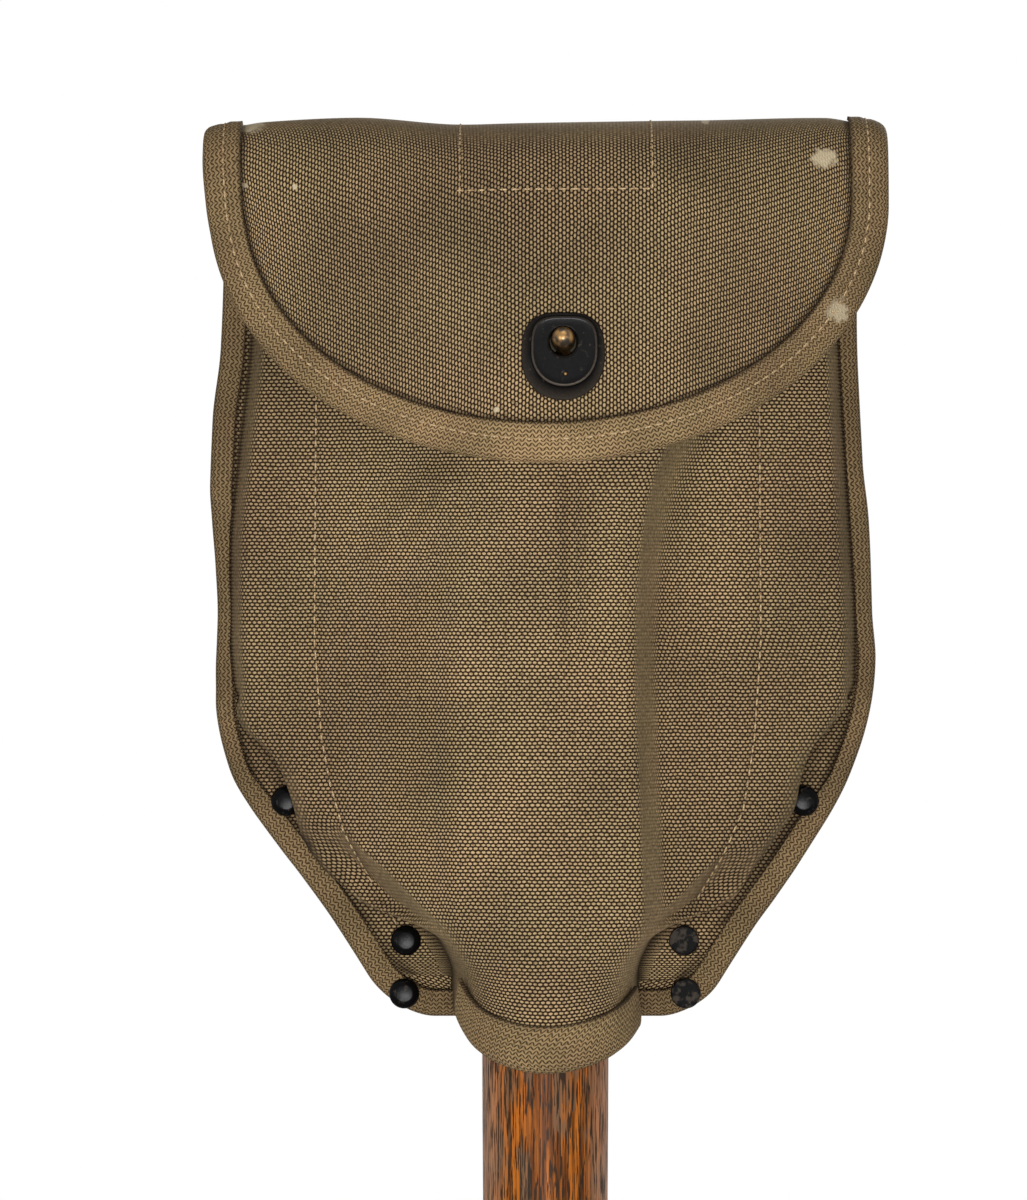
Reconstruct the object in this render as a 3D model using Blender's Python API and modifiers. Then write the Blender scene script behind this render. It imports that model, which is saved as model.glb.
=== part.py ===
"""Folding camp shovel stowed in its canvas belt carrier: flap shut, haft hanging down.

Metres, +Z up. The front of the carrier faces -Y. The origin is the seat of the belt hook.
"""

import math

import bmesh
import bpy
from mathutils import Matrix, Vector

MM = 0.001

# Clearance between pieces that touch
GAP = 0.3 * MM

# Cloth thicknesses and tape widths
CANVAS = 1.5 * MM
LINING = 1.0 * MM
PATCH = 1.2 * MM
TAPE = 1.0 * MM
WEBBING = 1.6 * MM
EDGE_TAPE_WIDTH = 9.0 * MM
FLAP_TAPE_WIDTH = 10.5 * MM
MOUTH_TAPE_WIDTH = 9.0 * MM
LOOP_TAPE_WIDTH = 12.5 * MM

# Blade
BLADE_WIDTH = 150.0 * MM
BLADE_LENGTH = 206.0 * MM
BLADE_POINT = 107.0 * MM
BLADE_TAPER = 2.4
BLADE_STEEL = 1.8 * MM
BLADE_DISH = 2.5 * MM
BLADE_CORNER = 10.0 * MM
STEP_ROLL = 4.0 * MM

# Hinge between blade and haft
STRAP = 2.5 * MM
STRAP_WIDTH = 26.0 * MM
STRAP_REACH = 52.0 * MM
EAR = 3.0 * MM
EAR_HALF = 6.0 * MM
KNUCKLE = 11.0 * MM
TONGUE_WIDTH = 19.4 * MM
PIN_DIAMETER = 8.0 * MM
BLADE_RIVET_HEAD = 1.6 * MM
BLADE_RIVET_DIAMETER = 8.0 * MM

# Lock nut, socket and haft
NUT_DIAMETER = 40.0 * MM
NUT_HEIGHT = 24.0 * MM
NUT_FLUTES = 8
NUT_FLUTE_DEPTH = 1.6 * MM
NUT_ROOM = 1.5 * MM
NECK_DIAMETER = 28.0 * MM
NECK_LENGTH = 62.0 * MM
TUBE_DIAMETER = 35.0 * MM
TUBE_LENGTH = 50.0 * MM
TUBE_WALL = 2.8 * MM
HAFT_DIAMETER = 33.0 * MM
BUTT_DIAMETER = 33.6 * MM
PIN_TO_BUTT = 495.0 * MM

# Carrier
TOP_ABOVE_SEAT = 30.0 * MM
ROOF_ROOM = 5.0 * MM
POCKET_PLAY = 4.0 * MM
SEAM_MARGIN = 5.0 * MM
SIDE_BELLY = 3.0 * MM
WALL_RUN = 6.0 * MM
POUCH_DEPTH = 17.0 * MM
BULGE_HALF = 34.0 * MM
FRONT_ROOM = 2.2 * MM
LOOP_PLAY = 8.7 * MM
LOOP_WALL_RUN = 10.9 * MM
LOOP_DROP = 14.5 * MM
LOOP_RISE = 7.0 * MM
FLANK_RISE = 73.4 * MM
FLANK_ROUND = 14.0 * MM
FOOT_RUN = 16.0 * MM
CORNER = 11.0 * MM
BOTTOM_PLAY = 5.5 * MM
LINING_ABOVE_TIP = 58.0 * MM
RIVET_DIAMETER = 8.0 * MM
RIVET_ROOM = 0.8 * MM

# Flap
FLAP_OVERHANG = 6.6 * MM
FLAP_DROP = 69.5 * MM
FLAP_STRAIGHT = 22.0 * MM
FLAP_EDGE_FALL = 4.0 * MM
ROOF_SQUARENESS = 2.4
PATCH_WIDTH = 54.0 * MM

# Snap fastener
SNAP_SIDE = 4.5 * MM
SNAP_BELOW_SEAT = 30.0 * MM
STUD_FLANGE = 0.8 * MM
STUD_DIAMETER = 6.2 * MM
CLINCH = 0.7 * MM
PLATE_WIDTH = 21.5 * MM
PLATE_HEIGHT = 22.8 * MM
PLATE_BASE = 1.2 * MM
PLATE_RAISE = 1.6 * MM

# Belt hook and its webbing tab
WIRE = 4.0 * MM
HOOK_BEND = 5.0 * MM
HOOK_SPACING = 38.0 * MM
HOOK_DROP = 40.0 * MM
PRONG = 20.0 * MM
TAB_SEWN = 42.0 * MM

# Levels along the length
Z_TOP = TOP_ABOVE_SEAT
Z_PIN = Z_TOP - CANVAS - GAP - PATCH - ROOF_ROOM - KNUCKLE
Z_MOUTH = Z_PIN - KNUCKLE
Z_BLADE_TOP = Z_PIN - EAR_HALF - 1.0 * MM
Z_TIP = Z_BLADE_TOP - BLADE_LENGTH
Z_POINT = Z_TIP + BLADE_POINT
Z_BOTTOM = Z_TIP - BOTTOM_PLAY
Z_LOOP = Z_BOTTOM - LOOP_DROP
Z_NUT = Z_PIN - KNUCKLE - GAP
Z_TUBE = Z_NUT - NECK_LENGTH - 10 * MM
Z_TUBE_END = Z_TUBE - TUBE_LENGTH
Z_BUTT = Z_PIN - PIN_TO_BUTT
Z_SNAP = -SNAP_BELOW_SEAT
Z_PLATE = Z_SNAP - 3.6 * MM
Z_BAR = -HOOK_DROP
Z_TAB_END = Z_BAR - 14 * MM - TAB_SEWN

# Depths, counted forward from the inner face of the back panel
D_STRAP = GAP + BLADE_RIVET_HEAD
D_BLADE = D_STRAP + STRAP + GAP
D_BLADE_FRONT = D_BLADE + BLADE_STEEL
D_AXIS = D_BLADE_FRONT + GAP + BLADE_RIVET_HEAD + NUT_ROOM + NUT_DIAMETER / 2
D_PIN = ((D_BLADE + D_BLADE_FRONT) / 2 + D_AXIS) / 2
D_MARGIN = GAP + CANVAS
DOME_NUT = D_AXIS + NUT_DIAMETER / 2 + FRONT_ROOM + LINING + 3 * GAP + CANVAS
DOME_HAFT = D_AXIS + max(BUTT_DIAMETER, TUBE_DIAMETER) / 2 + TAPE + LINING + 4 * GAP + CANVAS
FLAP_GAP = STUD_FLANGE + CLINCH + 4 * GAP

# Planes across the depth
Y_WIRE = -HOOK_BEND
Y_BACK = Y_WIRE - WIRE / 2 - GAP - WEBBING - GAP
Y_FLANGE = Y_BACK - CANVAS
Y_FOLD = Y_FLANGE + CANVAS / 2

# Half widths
LOOP_HALF = BUTT_DIAMETER / 2 + LOOP_PLAY
FLANK_FOOT = LOOP_HALF + FOOT_RUN
SIDE_HALF = BLADE_WIDTH / 2 + POCKET_PLAY + SEAM_MARGIN
FLANK_SLOPE = (SIDE_HALF + SIDE_BELLY - FLANK_FOOT) / FLANK_RISE
FLAP_HALF = SIDE_HALF + FLAP_OVERHANG
EDGE_INSET = (D_MARGIN + CANVAS) / 2 + GAP + TAPE
EDGE_EASE = 2.4 * MM
HEM_EASE = 0.9 * MM
HEM_INSET = CANVAS / 2 + HEM_EASE + TAPE
Z_FLAP = Z_TOP - FLAP_STRAIGHT
ROOF_RISE = Z_TOP - Z_MOUTH
ROOF_RUN = D_AXIS + ROOF_RISE

# Where the grid lines of the cloth lie, from the centre line to the edge, as shares of the half width
PANEL_LINES = (0.0, 0.12, 0.22, 0.3, 0.37, 0.44, 0.52, 0.65, 0.82, 0.93, 0.975, 1.0)
LOOP_LINES = (0.0, 0.16, 0.32, 0.46, 0.58, 0.68, 0.77, 0.84, 0.9, 0.945, 0.98, 1.0)

# Edges sharper than this stay crisp in shading
SHARP_ANGLE = math.radians(40)

PARTS = "camp_shovel"
CUTTERS = "cutters"


def clear_scene():
    for item in list(bpy.data.objects):
        bpy.data.objects.remove(item, do_unlink=True)
    for name in (PARTS, CUTTERS):
        group = bpy.data.collections.new(name)
        bpy.context.scene.collection.children.link(group)
    bpy.data.collections[CUTTERS].hide_render = True


def finish_material(name, colour, metallic, roughness):
    made = bpy.data.materials.get(name)
    if made is None:
        made = bpy.data.materials.new(name)
        made.use_nodes = True
        shader = made.node_tree.nodes["Principled BSDF"]
        shader.inputs["Base Color"].default_value = (*colour, 1.0)
        shader.inputs["Metallic"].default_value = metallic
        shader.inputs["Roughness"].default_value = roughness
        made.diffuse_color = (*colour, 1.0)
    return made


def canvas():
    return finish_material("olive_canvas", (0.16, 0.11, 0.055), 0.0, 0.9)


def tape():
    return finish_material("twill_tape", (0.22, 0.16, 0.085), 0.0, 0.9)


def japanned():
    return finish_material("black_japan", (0.02, 0.019, 0.018), 0.4, 0.35)


def steel():
    return finish_material("painted_steel", (0.06, 0.06, 0.05), 0.5, 0.5)


def brass():
    return finish_material("aged_brass", (0.35, 0.24, 0.1), 1.0, 0.4)


def wood():
    return finish_material("varnished_ash", (0.26, 0.1, 0.03), 0.0, 0.35)


def shown(name, data, material):
    item = bpy.data.objects.new(name, data)
    data.materials.append(material)
    bpy.data.collections[PARTS].objects.link(item)
    return item


def helper(name, data):
    item = bpy.data.objects.new(name, data)
    item.display_type = "WIRE"
    item.hide_render = True
    bpy.data.collections[CUTTERS].objects.link(item)
    return item


def smooth_shaded(data):
    data.shade_smooth()
    data.set_sharp_from_angle(angle=SHARP_ANGLE)
    return data


def mesh_from(bm, name):
    bmesh.ops.recalc_face_normals(bm, faces=bm.faces)
    data = bpy.data.meshes.new(name)
    bm.to_mesh(data)
    bm.free()
    return smooth_shaded(data)


def at(x, depth, z):
    return Vector((x, Y_FLANGE - depth, z))


def ease(t):
    t = min(max(t, 0.0), 1.0)
    return t * t * (3 - 2 * t)


def smooth_min(a, b, blend):
    h = max(blend - abs(a - b), 0.0) / blend
    return min(a, b) - h * h * blend / 4


def smooth_max(a, b, blend):
    return -smooth_min(-a, -b, blend)


def along(path, t):
    """Point and direction at the fraction t of a path's length."""
    lengths = [(b - a).length for a, b in zip(path, path[1:])]
    want = min(max(t, 0.0), 1.0) * sum(lengths)
    for a, b, length in zip(path, path[1:], lengths):
        if want <= length or b is path[-1]:
            return a.lerp(b, want / length), (b - a).normalized()
        want -= length
    return path[-1], (path[-1] - path[-2]).normalized()


def spread(u, lines):
    """Signed share of the half width at u, from 0 at one edge to 1 at the other."""
    t = abs(2 * u - 1) * (len(lines) - 1)
    i = min(int(t + 1e-6), len(lines) - 2)
    share = lines[i] + (lines[i + 1] - lines[i]) * (t - i)
    return share if u > 0.5 else -share


def lines_within(half):
    """The panel's grid lines up to half, as shares of half."""
    full = seam_half(Z_MOUTH)
    inner = [share * full / half for share in PANEL_LINES if share * full < half - 3 * MM]
    if half > full:
        inner += [(full + (half - full) * share) / half for share in (0.5, 0.8, 0.95)]
    return tuple(inner) + (1.0,)


def sheet(name, columns, rows, place, thickness, material, facing):
    """A grid laid out by place(u, v), u and v from 0 to 1, as the face of a sheet.

    facing is the way that face looks at the middle of the grid; the thickness lies behind it.
    """
    bm = bmesh.new()
    bmesh.ops.create_grid(bm, x_segments=columns, y_segments=rows, size=1.0)
    middle = min(bm.faces, key=lambda face: face.calc_center_median().length)
    for vert in bm.verts:
        vert.co = place((vert.co.x + 1) / 2, (vert.co.y + 1) / 2)
    bm.normal_update()
    if middle.normal.dot(Vector(facing)) < 0:
        bmesh.ops.reverse_faces(bm, faces=bm.faces)
    data = bpy.data.meshes.new(name)
    bm.to_mesh(data)
    bm.free()
    item = shown(name, smooth_shaded(data), material)
    solid = item.modifiers.new("thickness", "SOLIDIFY")
    solid.thickness = thickness
    solid.offset = -1.0
    solid.use_even_offset = True
    solid.use_quality_normals = True
    return item


def lathe_mesh(name, profile, closed):
    bm = bmesh.new()
    verts = [bm.verts.new((r, 0.0, h)) for r, h in profile]
    for a, b in zip(verts, verts[1:]):
        bm.edges.new((a, b))
    if closed:
        bm.edges.new((verts[-1], verts[0]))
    data = bpy.data.meshes.new(name)
    bm.to_mesh(data)
    bm.free()
    return data


def spin(item, steps):
    screw = item.modifiers.new("turn", "SCREW")
    screw.steps = steps
    screw.render_steps = steps
    screw.use_merge_vertices = True
    screw.merge_threshold = 0.00001


def turned(name, profile, spot, material, steps=24, forward=False, closed=False):
    """A turned piece. Its profile runs from the top down the outer side."""
    item = shown(name, lathe_mesh(name, profile, closed), material)
    item.location = spot
    if forward:
        item.rotation_euler = (math.pi / 2, 0.0, 0.0)
    spin(item, steps)
    return item


def plate_mesh(name, outline, low, high):
    """A flat outline given thickness from low to high along its own Z."""
    bm = bmesh.new()
    face = bm.faces.new([bm.verts.new((x, y, low)) for x, y in outline])
    grown = bmesh.ops.extrude_face_region(bm, geom=[face])
    moved = [v for v in grown["geom"] if isinstance(v, bmesh.types.BMVert)]
    bmesh.ops.translate(bm, verts=moved, vec=(0.0, 0.0, high - low))
    return mesh_from(bm, name)


def box_mesh(name, low, high):
    bm = bmesh.new()
    bmesh.ops.create_cube(bm, size=1.0)
    size = Vector(high) - Vector(low)
    bmesh.ops.scale(bm, verts=bm.verts, vec=size)
    bmesh.ops.translate(bm, verts=bm.verts, vec=(Vector(low) + Vector(high)) / 2)
    return mesh_from(bm, name)


def rod_mesh(name, start, end, radius, sides=20):
    start, end = Vector(start), Vector(end)
    turn = (end - start).to_track_quat("Z", "Y").to_matrix().to_4x4()
    bm = bmesh.new()
    bmesh.ops.create_cone(
        bm,
        cap_ends=True,
        segments=sides,
        radius1=radius,
        radius2=radius,
        depth=(end - start).length,
        matrix=Matrix.Translation((start + end) / 2) @ turn,
    )
    return mesh_from(bm, name)


def combine(item, other, operation):
    step = item.modifiers.new(operation.lower(), "BOOLEAN")
    step.operation = operation
    step.solver = "EXACT"
    step.object = other


def drill(item, name, start, end, radius, sides=20):
    combine(item, helper(name, rod_mesh(name, start, end, radius, sides)), "DIFFERENCE")


def wire(name, points, radius, material, ring=3):
    curve = bpy.data.curves.new(name, "CURVE")
    curve.dimensions = "3D"
    curve.bevel_depth = radius
    curve.bevel_resolution = ring
    curve.use_fill_caps = True
    spline = curve.splines.new("POLY")
    spline.points.add(len(points) - 1)
    for spot, point in zip(spline.points, points):
        spot.co = (*point, 1.0)
    return shown(name, curve, material)


def arc(centre, radius, start, end, steps):
    """Points of an arc in a plane, as pairs, angles in degrees."""
    made = []
    for i in range(steps + 1):
        a = math.radians(start + (end - start) * i / steps)
        made.append((centre[0] + radius * math.cos(a), centre[1] + radius * math.sin(a)))
    return made


def blade_half(z):
    t = min(max((Z_POINT - z) / BLADE_POINT, 0.0), 1.0)
    return BLADE_WIDTH / 2 * (1 - t**BLADE_TAPER)


def blade_edge(z):
    rise = max(z - (Z_BLADE_TOP - BLADE_CORNER), 0.0)
    return blade_half(z) - BLADE_CORNER + math.sqrt(max(BLADE_CORNER**2 - rise**2, 0.0))


def blade_depth(x, z):
    dish = BLADE_DISH * (2 * x / BLADE_WIDTH) ** 2
    near_top = ease((z - (Z_BLADE_TOP - 7 * MM)) / (7 * MM))
    off_centre = ease((abs(x) - STRAP_WIDTH) / (12 * MM))
    return D_BLADE + dish + STEP_ROLL * near_top * off_centre


def seam_half(z):
    return smooth_max(LOOP_HALF, blade_half(z) + POCKET_PLAY, 6 * MM)


def outline_half(z):
    side = SIDE_HALF + SIDE_BELLY * ease((Z_MOUTH - z) / (Z_MOUTH - Z_POINT))
    flank = FLANK_FOOT + (z - Z_BOTTOM) * FLANK_SLOPE
    half = smooth_min(side, flank, FLANK_ROUND)
    below = min(max(Z_BOTTOM + CORNER - z, 0.0), CORNER)
    return half - CORNER + math.sqrt(CORNER**2 - below**2)


def bulge(x, half):
    return 1 / (1 + (abs(x) / half) ** 5)


def dome_top(z):
    return DOME_NUT + (DOME_HAFT - DOME_NUT) * ease((Z_TUBE + 10 * MM - z) / TUBE_LENGTH)


def front_depth(x, z):
    """Depth of the front panel's outer face."""
    run = WALL_RUN + (LOOP_WALL_RUN - WALL_RUN) * ease((Z_BOTTOM + 42 * MM - z) / (40 * MM))
    inside = min(max((seam_half(z) - abs(x)) / run, 0.0), 1.0)
    crown = POUCH_DEPTH + (dome_top(z) - POUCH_DEPTH) * bulge(x, BULGE_HALF)
    return D_MARGIN + math.sin(inside * math.pi / 2) * (crown - D_MARGIN)


def front_point(x, z, out=0.0):
    """Point over the front panel, out metres outside its outer face."""
    step = 0.2 * MM
    slope_x = (front_depth(x + step, z) - front_depth(x - step, z)) / (2 * step)
    slope_z = (front_depth(x, z + step) - front_depth(x, z - step)) / (2 * step)
    normal = Vector((-slope_x, -1.0, -slope_z)).normalized()
    return at(x, front_depth(x, z), z) + normal * out


def loop_rise(x):
    return LOOP_RISE * min(abs(x) / LOOP_HALF, 1.0) ** 2


def flap_depth(x, z):
    """Depth of the hanging flap's outer face."""
    fall = FLAP_EDGE_FALL * (abs(x) / FLAP_HALF) ** 6
    crown = POUCH_DEPTH - fall + (dome_top(z) - POUCH_DEPTH) * bulge(x, BULGE_HALF + FLAP_GAP)
    return crown + FLAP_GAP + CANVAS


def flap_run(z):
    """Length along the flap, from the fold at the back, of the level z on its front."""
    if z <= Z_MOUTH:
        return ROOF_RUN + Z_MOUTH - z
    share = ((z - Z_MOUTH) / ROOF_RISE) ** (ROOF_SQUARENESS / 2)
    return ROOF_RUN * math.acos(min(share, 1.0)) / (math.pi / 2)


def flap_face(x, run):
    if run >= ROOF_RUN:
        z = Z_MOUTH - (run - ROOF_RUN)
        return at(x, flap_depth(x, z), z)
    turn = max(run, 0.0) / ROOF_RUN * math.pi / 2
    power = 2 / ROOF_SQUARENESS
    reach = flap_depth(x, Z_MOUTH) + Y_FOLD - Y_FLANGE
    back = Vector((x, Y_FOLD, Z_MOUTH))
    return back + Vector((0.0, -reach * math.sin(turn) ** power, ROOF_RISE * math.cos(turn) ** power))


def flap_point(x, run, out=0.0):
    """Point over the flap, out metres outside its outer face."""
    step = 0.5 * MM
    run_low = max(run - step, 0.2 * MM)
    across = flap_face(x + step, run) - flap_face(x - step, run)
    down = flap_face(x, run_low + 2 * step) - flap_face(x, run_low)
    normal = down.cross(across).normalized()
    return flap_face(x, run) + normal * out


def flap_edge():
    """Free edge of the flap: (x, run) and the way inward, along the left side, foot and right side."""
    start = 4 * MM
    end = flap_run(Z_FLAP)
    levels = [start + (end - start) * i / 5 for i in range(5)]
    left = [(Vector((-FLAP_HALF, run)), Vector((1.0, 0.0))) for run in levels]
    lines = lines_within(FLAP_HALF)
    shares = [-share for share in reversed(lines)] + list(lines[1:])
    foot = []
    for share in shares:
        down = math.sqrt(max(1 - share**2, 0.0))
        spot = Vector((FLAP_HALF * share, flap_run(Z_FLAP - FLAP_DROP * down)))
        foot.append((spot, Vector((-share / FLAP_HALF, -down / FLAP_DROP)).normalized()))
    right = [(Vector((FLAP_HALF, run)), Vector((-1.0, 0.0))) for run in reversed(levels)]
    return left + foot + right


def tape_profile(u, front, back, radius):
    """A tape folded round an edge: inward distance and offset, from its back lip to its front lip."""
    lip = 2 / 7
    if u < lip:
        return back + (radius - back) * u / lip, -radius
    if u > 1 - lip:
        return radius + (front - radius) * (u - 1 + lip) / lip, radius
    a = math.pi * (u - lip) / (1 - 2 * lip)
    return radius - radius * math.sin(a), -radius * math.cos(a)


def build_back_panel():
    top = Z_TOP - CANVAS - 1.2 * MM
    wide_end = Z_MOUTH + 2 * MM
    foot = Z_BOTTOM + EDGE_INSET + EDGE_EASE
    rows = 16
    levels = [top, (top + wide_end) / 2]
    levels += [wide_end + (foot - wide_end) * (1 - (1 - i / rows) ** 1.4) for i in range(rows + 1)]

    def place(u, v):
        z = levels[round(v * (len(levels) - 1))]
        wider = FLAP_OVERHANG * ease((z - wide_end) / (top - wide_end))
        half = outline_half(z) - EDGE_INSET - EDGE_EASE + wider
        return at((2 * u - 1) * half, -CANVAS, z)

    return sheet("back_panel", 2, len(levels) - 1, place, CANVAS, canvas(), (0, 1, 0))


def build_front_panel():
    top = Z_MOUTH - HEM_INSET
    foot = Z_BOTTOM + EDGE_INSET + EDGE_EASE
    end = Z_LOOP + HEM_INSET
    full = seam_half(Z_MOUTH)
    inner_columns = len(PANEL_LINES) - 1
    flange_columns = 2
    columns = inner_columns + flange_columns
    rows = 13
    levels = [top + (foot - top) * (1 - (1 - i / rows) ** 1.4) for i in range(rows + 1)]
    levels += [foot - 0.8 * MM + (end - foot + 0.8 * MM) * i / 4 for i in range(5)]

    def place(u, v):
        side = 1 if u > 0.5 else -1
        t = abs(2 * u - 1) * columns
        z = levels[round(v * (len(levels) - 1))]
        seam = seam_half(z)
        edge = outline_half(z) - EDGE_INSET - EDGE_EASE if z >= foot else LOOP_HALF + 3 * MM
        if t <= inner_columns + 1e-6:
            u_inner = 0.5 + 0.5 * min(t / inner_columns, 1.0)
            share = (seam - LOOP_HALF) / (full - LOOP_HALF)
            at_loop = LOOP_HALF * spread(u_inner, LOOP_LINES)
            x = at_loop + (full * spread(u_inner, PANEL_LINES) - at_loop) * share
        else:
            x = seam + (max(edge, seam + 2 * MM) - seam) * (t - inner_columns) / flange_columns
        low = ease((foot - z) / (foot - end))
        return at(side * x, front_depth(x, z), z + loop_rise(x) * low)

    return sheet("front_panel", 2 * columns, len(levels) - 1, place, CANVAS, canvas(), (0, -1, 0))


def build_front_lining():
    top = Z_MOUTH - MOUTH_TAPE_WIDTH - 4 * MM
    end = Z_TIP + LINING_ABOVE_TIP
    full = BLADE_WIDTH / 2 - 17 * MM
    lines = lines_within(full)

    def place(u, v):
        z = top + (end - top) * v
        half = min(seam_half(z) - WALL_RUN - 8 * MM, full)
        return front_point(spread(u, lines) * half, z, -CANVAS - 3 * GAP)

    return sheet("front_lining", 2 * len(lines) - 2, 9, place, LINING, canvas(), (0, -1, 0))


def side_path(side):
    start = Z_MOUTH - 4 * MM
    levels = [start + (Z_BOTTOM + CORNER - start) * i / 30 for i in range(31)]
    levels += [Z_BOTTOM + CORNER * (1 - math.sin(math.radians(9 * i))) for i in range(1, 11)]
    return [Vector((side * outline_half(z), 0.0, z)) for z in levels]


def build_side_binding(name, side):
    path = side_path(side)
    radius = EDGE_INSET

    def place(u, v):
        spot, heading = along(path, v)
        inward = heading.cross(Vector((0.0, -side, 0.0))).normalized()
        margin = (outline_half(spot.z) - seam_half(spot.z)) * abs(inward.x) - 1.2 * MM
        front = max(min(EDGE_TAPE_WIDTH, margin), radius + 0.6 * MM)
        inset, offset = tape_profile(u, front, EDGE_TAPE_WIDTH, radius)
        point = spot + inward * inset
        middle = (D_MARGIN - CANVAS) / 2
        return Vector((point.x, Y_FLANGE - middle - offset, point.z))

    return sheet(name, 7, 22, place, TAPE, tape(), (side, 0, 0))


def build_bottom_binding():
    radius = HEM_INSET
    half = LOOP_HALF - 5 * MM

    def place(u, v):
        inset, offset = tape_profile(u, EDGE_TAPE_WIDTH, EDGE_TAPE_WIDTH, radius)
        depth = -CANVAS / 2 + offset
        return at((2 * v - 1) * half, depth, Z_BOTTOM + EDGE_INSET - radius + inset)

    return sheet("bottom_binding", 7, 2, place, TAPE, tape(), (0, 0, -1))


def build_mouth_binding():
    radius = HEM_INSET
    half = seam_half(Z_MOUTH) - WALL_RUN - 3 * MM
    lines = lines_within(half)

    def place(u, v):
        inset, offset = tape_profile(u, MOUTH_TAPE_WIDTH, MOUTH_TAPE_WIDTH, radius)
        return front_point(spread(v, lines) * half, Z_MOUTH - inset, offset - CANVAS / 2)

    return sheet("mouth_binding", 7, 2 * len(lines) - 2, place, TAPE, tape(), (0, 0, 1))


def build_loop_binding():
    radius = HEM_INSET + 0.6 * MM
    lines = LOOP_LINES[:-2]

    def place(u, v):
        x = LOOP_HALF * spread(v, lines)
        inset, offset = tape_profile(u, LOOP_TAPE_WIDTH, LOOP_TAPE_WIDTH, radius)
        z = Z_LOOP + inset + loop_rise(x)
        return front_point(x, z, offset - CANVAS / 2)

    return sheet("loop_binding", 7, 2 * len(lines) - 2, place, TAPE, tape(), (0, 0, -1))


def build_flap():
    half = FLAP_HALF - HEM_INSET
    drop = FLAP_DROP - HEM_INSET
    lines = lines_within(half)

    def place(u, v):
        share = spread(u, lines)
        run = flap_run(Z_FLAP - drop * math.sqrt(max(1 - share**2, 0.0)))
        return flap_point(half * share, run * v)

    return sheet("flap", 2 * len(lines) - 2, 12, place, CANVAS, canvas(), (0, -1, 0))


def build_flap_binding():
    edge = flap_edge()
    last = len(edge) - 1

    def place(u, v):
        spot, inward = edge[round(v * last)]
        inset, offset = tape_profile(u, FLAP_TAPE_WIDTH, FLAP_TAPE_WIDTH, HEM_INSET)
        point = spot + inward * inset
        return flap_point(point.x, point.y, offset - CANVAS / 2)

    return sheet("flap_binding", 7, last, place, TAPE, tape(), (0, 0, -1))


def build_flap_patch():
    start = 6 * MM
    end = flap_run(Z_FLAP)

    def place(u, v):
        x = (2 * u - 1) * PATCH_WIDTH / 2 + SNAP_SIDE * 0.6
        return flap_point(x, start + (end - start) * v, -CANVAS - 3 * GAP)

    return sheet("flap_patch", 8, 9, place, PATCH, canvas(), (0, -1, 1))


def rivet_spots():
    """The three pairs of carrier rivets: x, z and whether the edge tape lies under the head."""
    corner_x = FLANK_FOOT + CORNER * FLANK_SLOPE - CORNER
    head = RIVET_DIAMETER / 2
    middle = Z_BOTTOM + 20.5 * MM
    high = Z_BOTTOM + 57.5 * MM
    return [
        (corner_x, Z_BOTTOM + CORNER - 4.5 * MM, True),
        (seam_half(middle + head) + head + RIVET_ROOM, middle, False),
        (seam_half(high) + head + RIVET_ROOM, high, True),
    ]


def build_carrier_rivets(front, back, bindings):
    head = RIVET_DIAMETER / 2
    foot = 3.0 * MM
    shank = 1.2 * MM
    for number, (x, z, on_tape) in enumerate(rivet_spots(), 1):
        lift = TAPE + GAP if on_tape else 0.0
        under = D_MARGIN + lift + GAP
        behind = -CANVAS - lift - GAP
        profile = [(0.0, under + 2.0 * MM)]
        profile += [(head * math.sin(a), under + 0.5 * MM + 1.5 * MM * math.cos(a)) for a in (0.6, 1.2)]
        profile += [(head, under), (shank, under), (shank, behind), (foot, behind)]
        profile += [(foot, behind - 0.8 * MM), (0.0, behind - 0.8 * MM)]
        for word, side in (("left", -1), ("right", 1)):
            name = f"carrier_rivet_{word}_{number}"
            spot = (side * x, Y_FLANGE, z)
            turned(name, profile, spot, japanned(), 10, True)
            ends = at(side * x, -6 * MM, z), at(side * x, 6 * MM, z)
            hole = helper(name + "_hole", rod_mesh(name + "_hole", *ends, shank + GAP, 10))
            combine(front, hole, "DIFFERENCE")
            combine(back, hole, "DIFFERENCE")
            if on_tape:
                combine(bindings[side], hole, "DIFFERENCE")


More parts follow.
